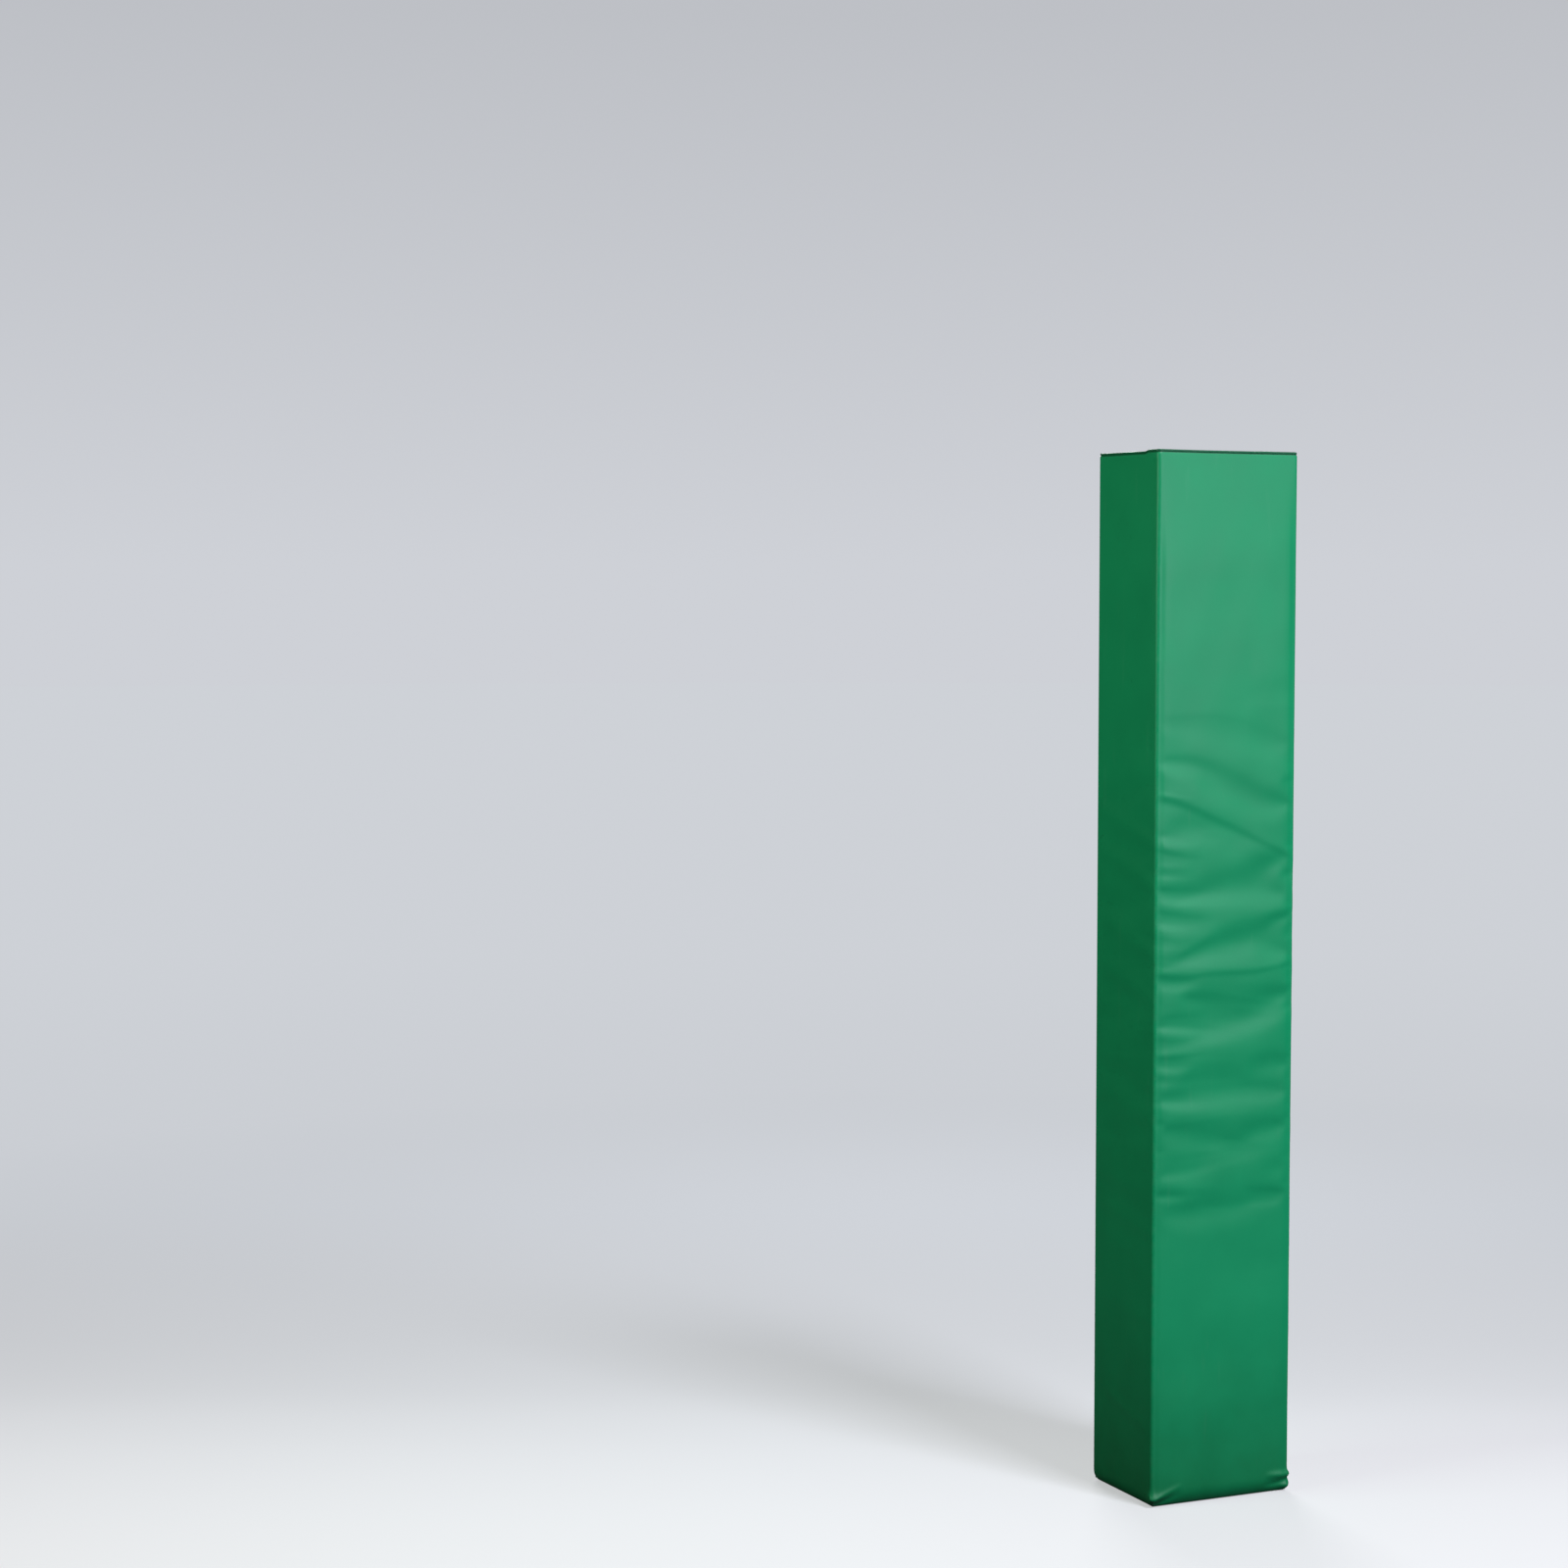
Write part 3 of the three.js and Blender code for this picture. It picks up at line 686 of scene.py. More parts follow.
def cover_rows(shape):
    """The cover's path from its bottom seam to its top seam: how far in from its face, and how high."""
    roll, rise = shape.bottom_roll, 1.8 * shape.bottom_roll
    turn = np.radians(np.linspace(0, 90, 14))
    bottom = [(roll + 0.0035, 0.0034), (roll + 0.0026, 0.0018), (roll + 0.0012, 0.0006)]
    bottom += [(roll * (1 - math.sin(a)), rise * (1 - math.cos(a))) for a in turn]
    fine, coarse = 0.003, 0.0055
    shaft = np.concatenate([
        np.arange(rise + fine, 0.06, fine),
        np.arange(0.063, 0.50, coarse),
        np.arange(0.50, 1.42, fine),
        np.arange(1.425, HEIGHT - 0.05, coarse),
        np.arange(HEIGHT - 0.047, HEIGHT - 0.012, fine),
    ])
    seam = HEIGHT - shape.hem_band
    hem = [
        (0.0, seam - 0.0035), (0.0003, seam - 0.0020), (0.0010, seam - 0.0009),
        (0.0016, seam), (0.0011, seam + 0.0007), (0.0004, seam + 0.0013),
    ]
    lip = HEIGHT - seam - 0.0013
    for a in np.radians((12, 35, 55, 75, 90)):
        hem.append((0.0001 + lip * (1 - math.cos(a)) * 0.6, HEIGHT - lip * (1 - math.sin(a))))
    hem += [(0.0042, HEIGHT), (0.0052, HEIGHT - 0.0005), (0.006, HEIGHT - 0.0018)]
    return np.array(bottom + [(0.0, z) for z in shaft] + hem)


def cover_columns(shape):
    """The runs of the cover's outline seen from above, each with its shares from 0 to 1."""
    front = 2 * (HALF_WIDTH - shape.front_corner)
    near = np.arange(0, 0.045, 0.0022)[1:]
    middle = np.linspace(0.045, front - 0.012, 50)
    end = np.linspace(front - 0.0095, front, 4)[:-1]
    side = ("line", np.linspace(0, 1, 40)[1:-1])
    rear_arc, front_arc = ("arc", np.linspace(0, 1, 7)), ("arc", np.linspace(0, 1, 9))
    face = ("line", np.concatenate([near, middle, end]) / front)
    first, last = ("wrap", np.array([0.0, 0.5])), ("wrap", np.array([0.5, 1.0]))
    return [first, rear_arc, side, front_arc, face, front_arc, side, rear_arc, last]


def cover_outline(shape, inset):
    """The cover's outline seen from above, moved in by inset: points and outward directions."""
    least_bend, wrap = 0.0004, 0.0015
    arcs = []
    for x, y, start, radius in (
        (-HALF_WIDTH, BACK, 90, shape.rear_corner), (-HALF_WIDTH, FRONT, 180, shape.front_corner),
        (HALF_WIDTH, FRONT, 270, shape.front_corner), (HALF_WIDTH, BACK, 0, shape.rear_corner),
    ):
        bend = max(radius - inset, least_bend)
        inward = inset + bend
        centre = np.array([x + inward if x < 0 else x - inward, y + inward if y == FRONT else y - inward])
        arcs.append((centre, bend, start))
    points, outward = [], []
    corner = 0
    for kind, steps in cover_columns(shape):
        if kind == "arc":
            centre, bend, start = arcs[corner]
            angle = np.radians(start + 90 * steps)
            direction = np.stack([np.cos(angle), np.sin(angle)], 1)
            points.append(centre + bend * direction)
            outward.append(direction)
            corner += 1
        elif kind == "line":
            a, b = arcs[corner - 1], arcs[corner]
            angle = math.radians(a[2] + 90)
            direction = np.array([math.cos(angle), math.sin(angle)])
            first, last = a[0] + a[1] * direction, b[0] + b[1] * direction
            points.append(first + steps[:, None] * (last - first))
            outward.append(np.tile(direction, (len(steps), 1)))
        else:
            centre, bend, _ = arcs[0] if corner == 0 else arcs[3]
            reach = wrap * (1 - steps) if corner == 0 else -wrap * steps
            points.append(np.stack([centre[0] + reach, np.full(len(steps), centre[1] + bend)], 1))
            outward.append(np.tile([0.0, 1.0], (len(steps), 1)))
    return np.concatenate(points), np.concatenate(outward)


def spanned(stand, faced):
    """Fills the columns between two faces with even steps from one face to the other."""
    known = np.flatnonzero(faced)
    for k in np.flatnonzero(~faced):
        before, after = known[known < k], known[known > k]
        if len(before) and len(after):
            share = (k - before[-1]) / (after[0] - before[-1])
            stand[:, k] = stand[:, before[-1]] * (1 - share) + stand[:, after[0]] * share


def swollen(folds, share, crown):
    """Folds over a low crown, kept from sinking far into the foam."""
    return folds - folds.min() * 0.6 + np.sin(math.pi * np.clip(share, 0, 1)) ** 0.7 * crown


def cover_grid(shape):
    """The cover's points, outline and outward directions, closeness to an edge, the painted shade along its
    hem, and levels.
    """
    rows = cover_rows(shape)
    outline, outward = cover_outline(shape, 0.0)
    points = np.zeros((len(rows), len(outline), 3))
    for k, (inset, level) in enumerate(rows):
        points[k, :, :2] = cover_outline(shape, inset)[0]
        points[k, :, 2] = level
    height = rows[:, 1]
    on_front = outward[:, 1] < -0.999
    on_left, on_right = outward[:, 0] < -0.999, outward[:, 0] > 0.999
    stand = np.zeros(points.shape[:2])
    span, depth, corner = 2 * HALF_WIDTH, BACK - FRONT, shape.front_corner
    across = outline[on_front, 0] + HALF_WIDTH
    folds = fold_heights(FRONT_FOLDS, across, height, 0.09) * shape.fold_strength
    folds += unevenness(across, height, 5, 0.16, 0.0004) + small_wrinkles(across, height, 17, 0.00016)
    from_left, from_right = across - corner, span - corner - across
    hold = 0.45 + 0.55 * soft_step(from_left, -0.001, 0.010) * soft_step(from_right, -0.001, 0.010)
    ease = np.clip(1 - np.minimum(from_left, from_right) / 0.021, 0, 1) ** 2
    stand[:, on_front] = swollen(folds, across / span, shape.front_crown) * hold - 0.0014 * ease
    for side, seed, shift in ((on_left, 11, 0.0), (on_right, 23, 0.037)):
        reach = outline[side, 1] - FRONT
        shifted = np.clip(height + shift, 0, HEIGHT)
        folds = fold_heights(SIDE_FOLDS, reach, shifted, 0.08) * shape.fold_strength
        folds += (
            unevenness(reach, height, seed, 0.14, 0.0003)
            + small_wrinkles(reach, height, seed + 6, 0.0002)
        )
        rear = depth - reach
        hold = 0.7 * soft_step(reach - corner, -0.001, 0.012) * soft_step(rear, 0.002, 0.014)
        hold += 0.3 * soft_step(rear, 0.0, 0.03)
        stand[:, side] = swollen(folds, reach / depth, shape.side_crown) * hold
    spanned(stand, on_front | on_left | on_right)
    ends = soft_step(height, 0.004, 0.03) * (1 - soft_step(height, HEIGHT - 0.22, HEIGHT - 0.006))
    stand *= ends[:, None]
    stand += corner_gathers(outline, outward, height)
    points[:, :, :2] += stand[:, :, None] * outward[None]
    points[:, :, 2] += hem_lift(outline, outward, rows)
    beyond = np.minimum(outline[:, 1] - FRONT, BACK - outline[:, 1])
    nearest = np.hypot(np.abs(outline[:, 0]) - HALF_WIDTH, beyond)
    close = np.maximum(bell(nearest, 0.006)[None, :], bell(HEIGHT - height, 0.004)[:, None])
    close = np.maximum(close, bell(height, 0.012)[:, None])
    seam = HEIGHT - shape.hem_band
    # Painted shade along the hem's lip: the cover's colour is darkened there.
    shade = soft_step(height, seam - 0.0022, seam - 0.0004)[:, None] * np.ones((1, len(outline)))
    return points, outline, outward, close, shade, height


def resampled(grid, rows, columns, new_rows, new_columns):
    """Values on a grid, read at other rows and columns."""
    first = np.stack([np.interp(new_columns, columns, line) for line in grid])
    return np.stack([np.interp(new_rows, rows, first[:, k]) for k in range(len(new_columns))], 1)


def cloth_grid(start, slack, hold, cloth):
    """Lets a grid of cloth settle from its slack shape while its held points go to the start shape."""
    rows, columns, _ = start.shape
    mesh = bpy.data.meshes.new("settling_cover")
    mesh.from_pydata(slack.reshape(-1, 3).tolist(), [], grid_faces(rows, columns).tolist())
    piece = bpy.data.objects.new("settling_cover", mesh)
    scene = bpy.context.scene
    scene.collection.objects.link(piece)
    piece.shape_key_add(name="slack")
    pressed = piece.shape_key_add(name="pressed")
    pressed.data.foreach_set("co", start.astype(np.float32).ravel())
    for value, frame_number in ((0.0, 1), (1.0, cloth.frames // 2)):
        pressed.value = value
        pressed.keyframe_insert("value", frame=frame_number)
    group = piece.vertex_groups.new(name="held")
    levels = np.round(hold.ravel(), 2)
    for level in np.unique(levels[levels > 0]):
        group.add(np.flatnonzero(levels == level).tolist(), float(level), "REPLACE")
    modifier = piece.modifiers.new("settle", "CLOTH")
    rules = modifier.settings
    rules.quality = 6
    rules.mass = 0.3
    rules.tension_stiffness = rules.compression_stiffness = cloth.stiffness
    rules.shear_stiffness = 0.5 * cloth.stiffness
    rules.bending_stiffness = cloth.bending
    rules.vertex_group_mass = "held"
    rules.use_pressure = True
    rules.uniform_pressure_force = cloth.push
    rules.effector_weights.gravity = 0
    modifier.collision_settings.use_collision = False
    for frame_number in range(1, cloth.frames + 1):
        scene.frame_set(frame_number)
    view = bpy.context.evaluated_depsgraph_get()
    end = np.zeros(rows * columns * 3, np.float32)
    piece.evaluated_get(view).data.vertices.foreach_get("co", end)
    bpy.data.objects.remove(piece)
    bpy.data.meshes.remove(mesh)
    scene.frame_set(1)
    return end.reshape(rows, columns, 3)


def settled(points, outline, outward, height, cloth):
    """How far each point of the cover moves outwards as slack vinyl held at its corners and seams."""
    low, high, step, column_step = 0.30, 1.50, 0.006, 0.007
    girth = run_length(outline)
    wall = np.flatnonzero((height > 0.1) & (height < HEIGHT - 0.05))
    rows = np.arange(low, high, step)
    columns = np.linspace(0, girth[-1], int(girth[-1] / column_step))
    start = np.stack(
        [resampled(points[wall, :, k], height[wall], girth, rows, columns) for k in range(3)], 2,
    )
    facing = np.stack([np.interp(columns, girth, outward[:, k]) for k in range(2)], 1)
    facing /= np.linalg.norm(facing, axis=1, keepdims=True)
    x, y = np.interp(columns, girth, outline[:, 0]), np.interp(columns, girth, outline[:, 1])
    share = soft_step(rows, low + 0.08, low + 0.30) * (1 - soft_step(rows, high - 0.16, high - 0.05))
    spare = np.cumsum(share) * step * cloth.slack
    slack = start.copy()
    slack[:, :, 2] += (spare - spare[-1] / 2)[:, None]
    corner = bell(np.hypot(np.abs(x) - HALF_WIDTH, y - FRONT), 0.006)
    rear = soft_step(y, BACK - 0.02, BACK - 0.004)
    ends = np.maximum(1 - soft_step(rows, low, low + 0.05), soft_step(rows, high - 0.05, high))
    hold = np.maximum(np.maximum(corner, rear)[None, :], np.maximum(ends, cloth.backing)[:, None])
    end = cloth_grid(start, slack, hold, cloth)
    moved = ((end - start)[:, :, :2] * facing[None]).sum(2)
    limit, spacing, blur = 0.003, 0.0025, 0.0035
    moved = limit * np.tanh(moved / limit)
    even_rows, even_columns = np.arange(low, high, spacing), np.arange(0, girth[-1], spacing)
    even = resampled(moved, rows, columns, even_rows, even_columns)
    even = smoothed(smoothed(even, blur, spacing).T, blur, spacing).T
    window = soft_step(height, 0.34, 0.56) * (1 - soft_step(height, 1.20, 1.42))
    depth = np.where(np.abs(outward[:, 0]) > 0.999, cloth.side_share, 1.0)
    return resampled(even, even_rows, even_columns, height, girth) * window[:, None] * depth[None, :]


def corner_gathers(outline, outward, height):
    """Small bunched folds where the cover is gathered under its bottom corners and at its top corners."""
    x, y, z = outline[:, 0], outline[:, 1], height[:, None]
    near = np.hypot(x + HALF_WIDTH, y - FRONT)[None, :]
    right = np.hypot(x - HALF_WIDTH, y - FRONT)[None, :]
    stand = 0.0032 * bell(near, 0.020) * bell(z - 0.016, 0.011)
    stand += 0.0050 * bell(right, 0.013) * bell(z - 0.011, 0.009)
    front = (outward[:, 1] < -0.5)[None, :]
    for distance, rise, start, level, slope, half, reach in (
        (near, 0.0030, 0.004, 0.015, 0.36, 0.0050, 0.062),
        (near, -0.0022, 0.010, 0.006, 0.30, 0.0050, 0.062),
        (right, 0.0044, 0.0, 0.031, 0.04, 0.0055, 0.050),
        (right, -0.0034, 0.0, 0.019, -0.06, 0.0050, 0.052),
    ):
        path = level + slope * np.maximum(distance - start, 0)
        along = np.clip(1 - distance / reach, 0, 1) ** 0.7
        stand += np.where(front, rise * along * bell(z - path, half), 0)
    side = (outward[:, 0] < -0.5)[None, :]
    pinch = 0.0012 * bell(near - 0.012, 0.010) * bell(z - HEIGHT + 0.010, 0.006)
    return stand + np.where(side, pinch, 0)


def hem_lift(outline, outward, rows):
    """How far the hem stands above the top edge, most at the near corner where its end is lapped."""
    near = np.hypot(outline[:, 0] + HALF_WIDTH, outline[:, 1] - FRONT)
    along = np.where(outward[:, 0] < -0.999, 1 - soft_step(near, 0.034, 0.048), np.exp(-near / 0.14))
    along = np.where(outward[:, 1] > -0.999, along * (outline[:, 0] < 0), along)
    upper = soft_step(rows[:, 1], HEIGHT - 0.03, HEIGHT - 0.004) * (1 - soft_step(rows[:, 0], 0.003, 0.0058))
    return 0.0024 * upper[:, None] * along[None, :]


def grid_column(outline, outward, x):
    """The column on the front face nearest to x."""
    distance = np.abs(outline[:, 0] - x) + 10 * (outward[:, 1] > -0.999)
    return int(np.argmin(distance))


# Panels behind the cover


def shares(count):
    """Even shares from 0 to 1, or the shares that are given."""
    return np.linspace(0, 1, count) if isinstance(count, int) else count


def shares_round_gaps(count, length, gaps):
    """Shares along a length, with a line at each end of every gap and none inside it."""
    lines = np.linspace(0, 1, count)
    for start, end in gaps:
        a, b = start / length, end / length
        lines = lines[(lines < a - 0.4 / count) | (lines > b + 0.4 / count)]
        lines = np.sort(np.append(lines, (a, b)))
    return lines


def four_sided(corners, rows, columns):
    """A flat grid between four corners: bottom left, bottom right, top right, top left."""
    u, v = shares(columns)[None, :, None], shares(rows)[:, None, None]
    a, b, c, d = (np.array(p, float) for p in corners)
    return (1 - v) * ((1 - u) * a + u * b) + v * ((1 - u) * d + u * c)


def edge_distance(grid, rows, columns):
    """How far each point of a flat grid is from the nearest side, in metres."""
    width = np.linalg.norm(grid[:, -1] - grid[:, 0], axis=1)[:, None]
    length = np.linalg.norm(grid[-1] - grid[0], axis=1)[None, :]
    u, v = shares(columns)[None, :], shares(rows)[:, None]
    return np.minimum(np.minimum(u, 1 - u) * width, np.minimum(v, 1 - v) * length)


def sewn_sheet(name, corners, rows, columns, finish, tuck, pucker, seed, crown=0.0, ease=1.0, holes=()):
    """A sheet sewn in along its four sides: a low crown, tucked edges and small puckers at the seam."""
    grid = four_sided(corners, rows, columns)
    outward = grid_normals(grid)
    inside = edge_distance(grid, rows, columns)
    rise = crown * soft_step(inside, 0, min(inside.max(), 0.03)) ** 0.8 * ease
    sink = tuck * (1 - soft_step(inside, 0, 0.004))
    along, across = run_length(grid[:, 0])[:, None], run_length(grid[0])[None, :]
    beside = np.minimum(across, across.max() - across) < np.minimum(along, along.max() - along)
    flat = np.zeros(grid.shape[:2])
    wave = 0.024
    gather = np.where(
        beside, ripple(along + flat, seed, wave, pucker), ripple(across + flat, seed + 1, wave, pucker)
    )
    gather *= np.exp(-inside / 0.009) * soft_step(inside, 0.0, 0.004)
    lumps = unevenness(across[0], along[:, 0], seed + 2, 0.11, crown * 0.3) * soft_step(inside, 0.004, 0.03)
    points = grid + outward * (rise - sink + gather + lumps * np.clip(ease, 0.15, 1))[:, :, None]
    piece = closed_sheet(name, points, 0.0009, finish, marks=bell(inside, 0.004), holes=holes)
    return piece, points


def depth_line(points, x):
    """The heights of a rear facing's rows and how far back it stands at one distance from the middle."""
    return points[:, 0, 2], np.array([np.interp(x, row[::-1, 0], row[::-1, 1]) for row in points])


def unit(vector):
    """A vector's direction."""
    return vector / np.linalg.norm(vector)


def rounded_ring(corners, inset, radius, steps):
    """A polygon seen from above, moved in by inset, with each corner rounded."""
    corners = np.array(corners, float)
    count = len(corners)
    ring, moved = [], []
    for k in range(count):
        a, b = unit(corners[k] - corners[k - 1]), unit(corners[(k + 1) % count] - corners[k])
        normal_a, normal_b = np.array([-a[1], a[0]]), np.array([-b[1], b[0]])
        moved.append(corners[k] + (normal_a + normal_b) * inset / (1 + normal_a @ normal_b))
    for k in range(count):
        before, here, after = moved[k - 1], moved[k], moved[(k + 1) % count]
        a, b = unit(before - here), unit(after - here)
        half = math.acos(np.clip(a @ b, -1, 1)) / 2
        longest = 0.3 * min(np.linalg.norm(before - here), np.linalg.norm(after - here))
        reach = min(radius / math.tan(half), longest)
        bend = reach * math.tan(half)
        centre = here + unit(a + b) * bend / math.sin(half)
        first, last = here + a * reach - centre, here + b * reach - centre
        start, end = math.atan2(first[1], first[0]), math.atan2(last[1], last[0])
        sweep = (end - start + math.pi) % (2 * math.pi) - math.pi
        for angle in start + sweep * np.linspace(0, 1, steps):
            ring.append(centre + bend * np.array([math.cos(angle), math.sin(angle)]))
    return np.array(ring)


def foam_block(name, corners, low, high, finish):
    """A mitred foam core with rounded edges, closed at both ends."""
    bottom, top, edge, steps = 0.013, 0.004, 0.006, 6
    rise = 1.8 * bottom
    lower, upper = np.radians(np.linspace(0, 90, 9)), np.radians(np.linspace(90, 0, 5))
    levels = [(bottom * (1 - math.sin(t)), low + rise * (1 - math.cos(t))) for t in lower]
    levels += [(0.0, z) for z in np.linspace(low + rise, high - top, 40)[1:-1]]
    levels += [(top * (1 - math.sin(t)), high - top * (1 - math.cos(t))) for t in upper]
    rings = [rounded_ring(corners, inset, edge, steps) for inset, _ in levels]
    points = [(*p, z) for ring, (_, z) in zip(rings, levels) for p in ring]
    count, last = len(rings[0]), len(rings) - 1
    index = np.arange(len(points)).reshape(len(rings), count)
    after = np.roll(index, -1, axis=1)
    faces = np.stack([index[:-1], after[:-1], after[1:], index[1:]], -1).reshape(-1, 4).tolist()
    for ring, order in ((0, -1), (last, 1)):
        points.append(tuple(np.array(points)[index[ring]].mean(0)))
        middle = len(points) - 1
        faces += [(j, n, middle)[::order] for j, n in zip(index[ring].tolist(), after[ring].tolist())]
    mesh = smooth_mesh(name, points, faces)
    mesh.validate()
    return new_object(name, mesh, finish)


# Repeated parts: stitches, eyelets, hooks and loops


def geometry_group(name, inputs):
    """A geometry tree with a geometry in and out, named inputs and a finish."""
    geometry = ("Geometry", "Geometry")
    return node_group("GeometryNodeTree", name, [geometry, *inputs, ("Finish", "Material")], [geometry])


def end_tree(tree, given, result, geometry):
    """Ends a tree with real, smooth geometry and its finish."""
    real = add(tree, "GeometryNodeRealizeInstances", Geometry=geometry)
    smooth = add(tree, "GeometryNodeSetShadeSmooth", Geometry=real.outputs["Geometry"])
    coat = add(
        tree, "GeometryNodeSetMaterial", Geometry=smooth.outputs["Geometry"], Material=given["Finish"],
    )
    feed(tree, result["Geometry"], coat.outputs["Geometry"])


def make_stitch_tree():
    """Stitches of one length along every path of the mesh."""
    tree, given, result = geometry_group("stitch_row", [
        ("Stitch Length", "Float", 0.003), ("Gap", "Float", 0.001), ("Thread Radius", "Float", 0.0004)])
    path = add(tree, "GeometryNodeMeshToCurve", Mesh=given["Geometry"])
    pitch = calculate(tree, "ADD", given["Stitch Length"], given["Gap"])
    even = add(
        tree, "GeometryNodeResampleCurve", {"mode": "LENGTH"}, Curve=path.outputs["Curve"], Length=pitch,
    )
    bead = add(tree, "GeometryNodeMeshUVSphere", Segments=6, Rings=4, Radius=1.0)
    upright = add(tree, "GeometryNodeTransform", Geometry=bead.outputs["Mesh"], Rotation=(0, math.pi / 2, 0))
    size = add(tree, "ShaderNodeCombineXYZ", X=calculate(tree, "MULTIPLY", given["Stitch Length"], 0.55),
               Y=given["Thread Radius"], Z=given["Thread Radius"])
    tangent = add(tree, "GeometryNodeInputTangent").outputs["Tangent"]
    turn = add(tree, "FunctionNodeAlignRotationToVector", {"axis": "X"}, Vector=tangent)
    place = add(
        tree, "GeometryNodeInstanceOnPoints",
        Points=even.outputs["Curve"], Instance=upright.outputs["Geometry"],
        Rotation=turn.outputs["Rotation"], Scale=size.outputs["Vector"],
    )
    end_tree(tree, given, result, place.outputs["Instances"])


def make_eyelet_tree():
    """A pressed eyelet, flange and barrel, at every point of the mesh."""
    tree, given, result = geometry_group("vent_eyelet", [
        ("Bore Radius", "Float", 0.003), ("Flange Width", "Float", 0.0036),
        ("Barrel Length", "Float", 0.0024), ("Flange Rise", "Float", 0.0007)])
    circle, sweep = "GeometryNodeCurvePrimitiveCircle", "GeometryNodeCurveToMesh"
    middle = calculate(tree, "MULTIPLY_ADD", given["Flange Width"], 0.5, given["Bore Radius"])
    ring = add(tree, circle, Resolution=36, Radius=middle)
    roll = add(tree, circle, Resolution=12, Radius=1.0)
    size = add(tree, "ShaderNodeCombineXYZ", X=calculate(tree, "MULTIPLY", given["Flange Width"], 0.5),
               Y=given["Flange Rise"], Z=1.0)
    flat = add(tree, "GeometryNodeTransform", Geometry=roll.outputs["Curve"], Scale=size.outputs["Vector"])
    flange = add(tree, sweep, Curve=ring.outputs["Curve"], Profile_Curve=flat.outputs["Geometry"])
    bore = add(tree, circle, Resolution=36, Radius=calculate(tree, "ADD", given["Bore Radius"], 0.0003))
    wall = add(tree, "GeometryNodeCurvePrimitiveQuadrilateral", Width=0.0006, Height=given["Barrel Length"])
    barrel = add(tree, sweep, Curve=bore.outputs["Curve"], Profile_Curve=wall.outputs["Curve"])
    drop = add(tree, "ShaderNodeCombineXYZ", Z=calculate(tree, "MULTIPLY", given["Barrel Length"], -0.5))
    lower = add(
        tree, "GeometryNodeTransform", Geometry=barrel.outputs["Mesh"], Translation=drop.outputs["Vector"]
    )
    both = add(tree, "GeometryNodeJoinGeometry", Geometry=flange.outputs["Mesh"])
    feed(tree, both.inputs["Geometry"], lower.outputs["Geometry"])
    points = add(tree, "GeometryNodeMeshToPoints", Mesh=given["Geometry"])
    place = add(
        tree, "GeometryNodeInstanceOnPoints",
        Points=points.outputs["Points"], Instance=both.outputs["Geometry"],
        Rotation=(-math.pi / 2, 0, 0),
    )
    end_tree(tree, given, result, place.outputs["Instances"])


def make_pile_tree():
    """Hooks or loops at every point of the mesh, each turned a little by a fixed draw."""
    tree, given, result = geometry_group("tape_pile", [
        ("Rise", "Float", 0.001), ("Width", "Float", 0.0008), ("Thread Radius", "Float", 0.00016),
        ("Wander", "Float", 0.3), ("Facing", "Float", 1.0), ("Seed", "Int", 3)])
    loop = add(tree, "GeometryNodeCurveArc", Resolution=5, Radius=1.0, Sweep_Angle=math.pi)
    size = add(tree, "ShaderNodeCombineXYZ", X=calculate(tree, "MULTIPLY", given["Width"], 0.5),
               Y=given["Rise"], Z=1.0)
    shaped = add(tree, "GeometryNodeTransform", Geometry=loop.outputs["Curve"], Scale=size.outputs["Vector"])
    strand = add(tree, "GeometryNodeCurvePrimitiveCircle", Resolution=4, Radius=given["Thread Radius"])
    solid = add(tree, "GeometryNodeCurveToMesh", Curve=shaped.outputs["Geometry"],
                Profile_Curve=strand.outputs["Curve"], Fill_Caps=True)
    limits = []
    for sign in (-1.0, 1.0):
        turn = (0.5 * sign, 3.0 * sign, 0.5 * sign)
        limit = add(tree, "ShaderNodeVectorMath", {"operation": "SCALE"}, Vector=turn, Scale=given["Wander"])
        limits.append(limit.outputs[0])
    draw = add(tree, "FunctionNodeRandomValue", {"data_type": "FLOAT_VECTOR"},
               Min=limits[0], Max=limits[1], Seed=given["Seed"])
    flip = add(tree, "ShaderNodeCombineXYZ", X=1.0, Y=given["Facing"], Z=1.0)
    place = add(
        tree, "GeometryNodeInstanceOnPoints",
        Points=given["Geometry"], Instance=solid.outputs["Mesh"],
        Rotation=draw.outputs["Value"], Scale=flip.outputs["Vector"],
    )
    end_tree(tree, given, result, place.outputs["Instances"])


def path_mesh(name, paths):
    """A mesh of open paths, each a list of points."""
    points, edges = [], []
    for path in paths:
        first = len(points)
        points += [tuple(map(float, p)) for p in path]
        edges += [(first + k, first + k + 1) for k in range(len(path) - 1)]
    mesh = bpy.data.meshes.new(name)
    mesh.from_pydata(points, edges, [])
    return mesh


def grown(name, mesh, tree_name, values, finish):
    """Runs a tree on a mesh and keeps the result as a plain mesh."""
    source = bpy.data.objects.new(name + "_source", mesh)
    bpy.context.scene.collection.objects.link(source)
    modifier = source.modifiers.new("grow", "NODES")
    tree = bpy.data.node_groups[tree_name]
    modifier.node_group = tree
    sockets = {s.name: s.identifier for s in tree.interface.items_tree if s.in_out == "INPUT"}
    for label, value in values.items():
        modifier[sockets[label]] = value
    modifier[sockets["Finish"]] = bpy.data.materials[finish]
    view = bpy.context.evaluated_depsgraph_get()
    result = bpy.data.meshes.new_from_object(source.evaluated_get(view), depsgraph=view)
    source.modifiers.clear()
    bpy.data.objects.remove(source)
    bpy.data.meshes.remove(mesh)
    if len(result.polygons) == 0:
        raise RuntimeError(f"{name} came out empty")
    return new_object(name, result, finish)


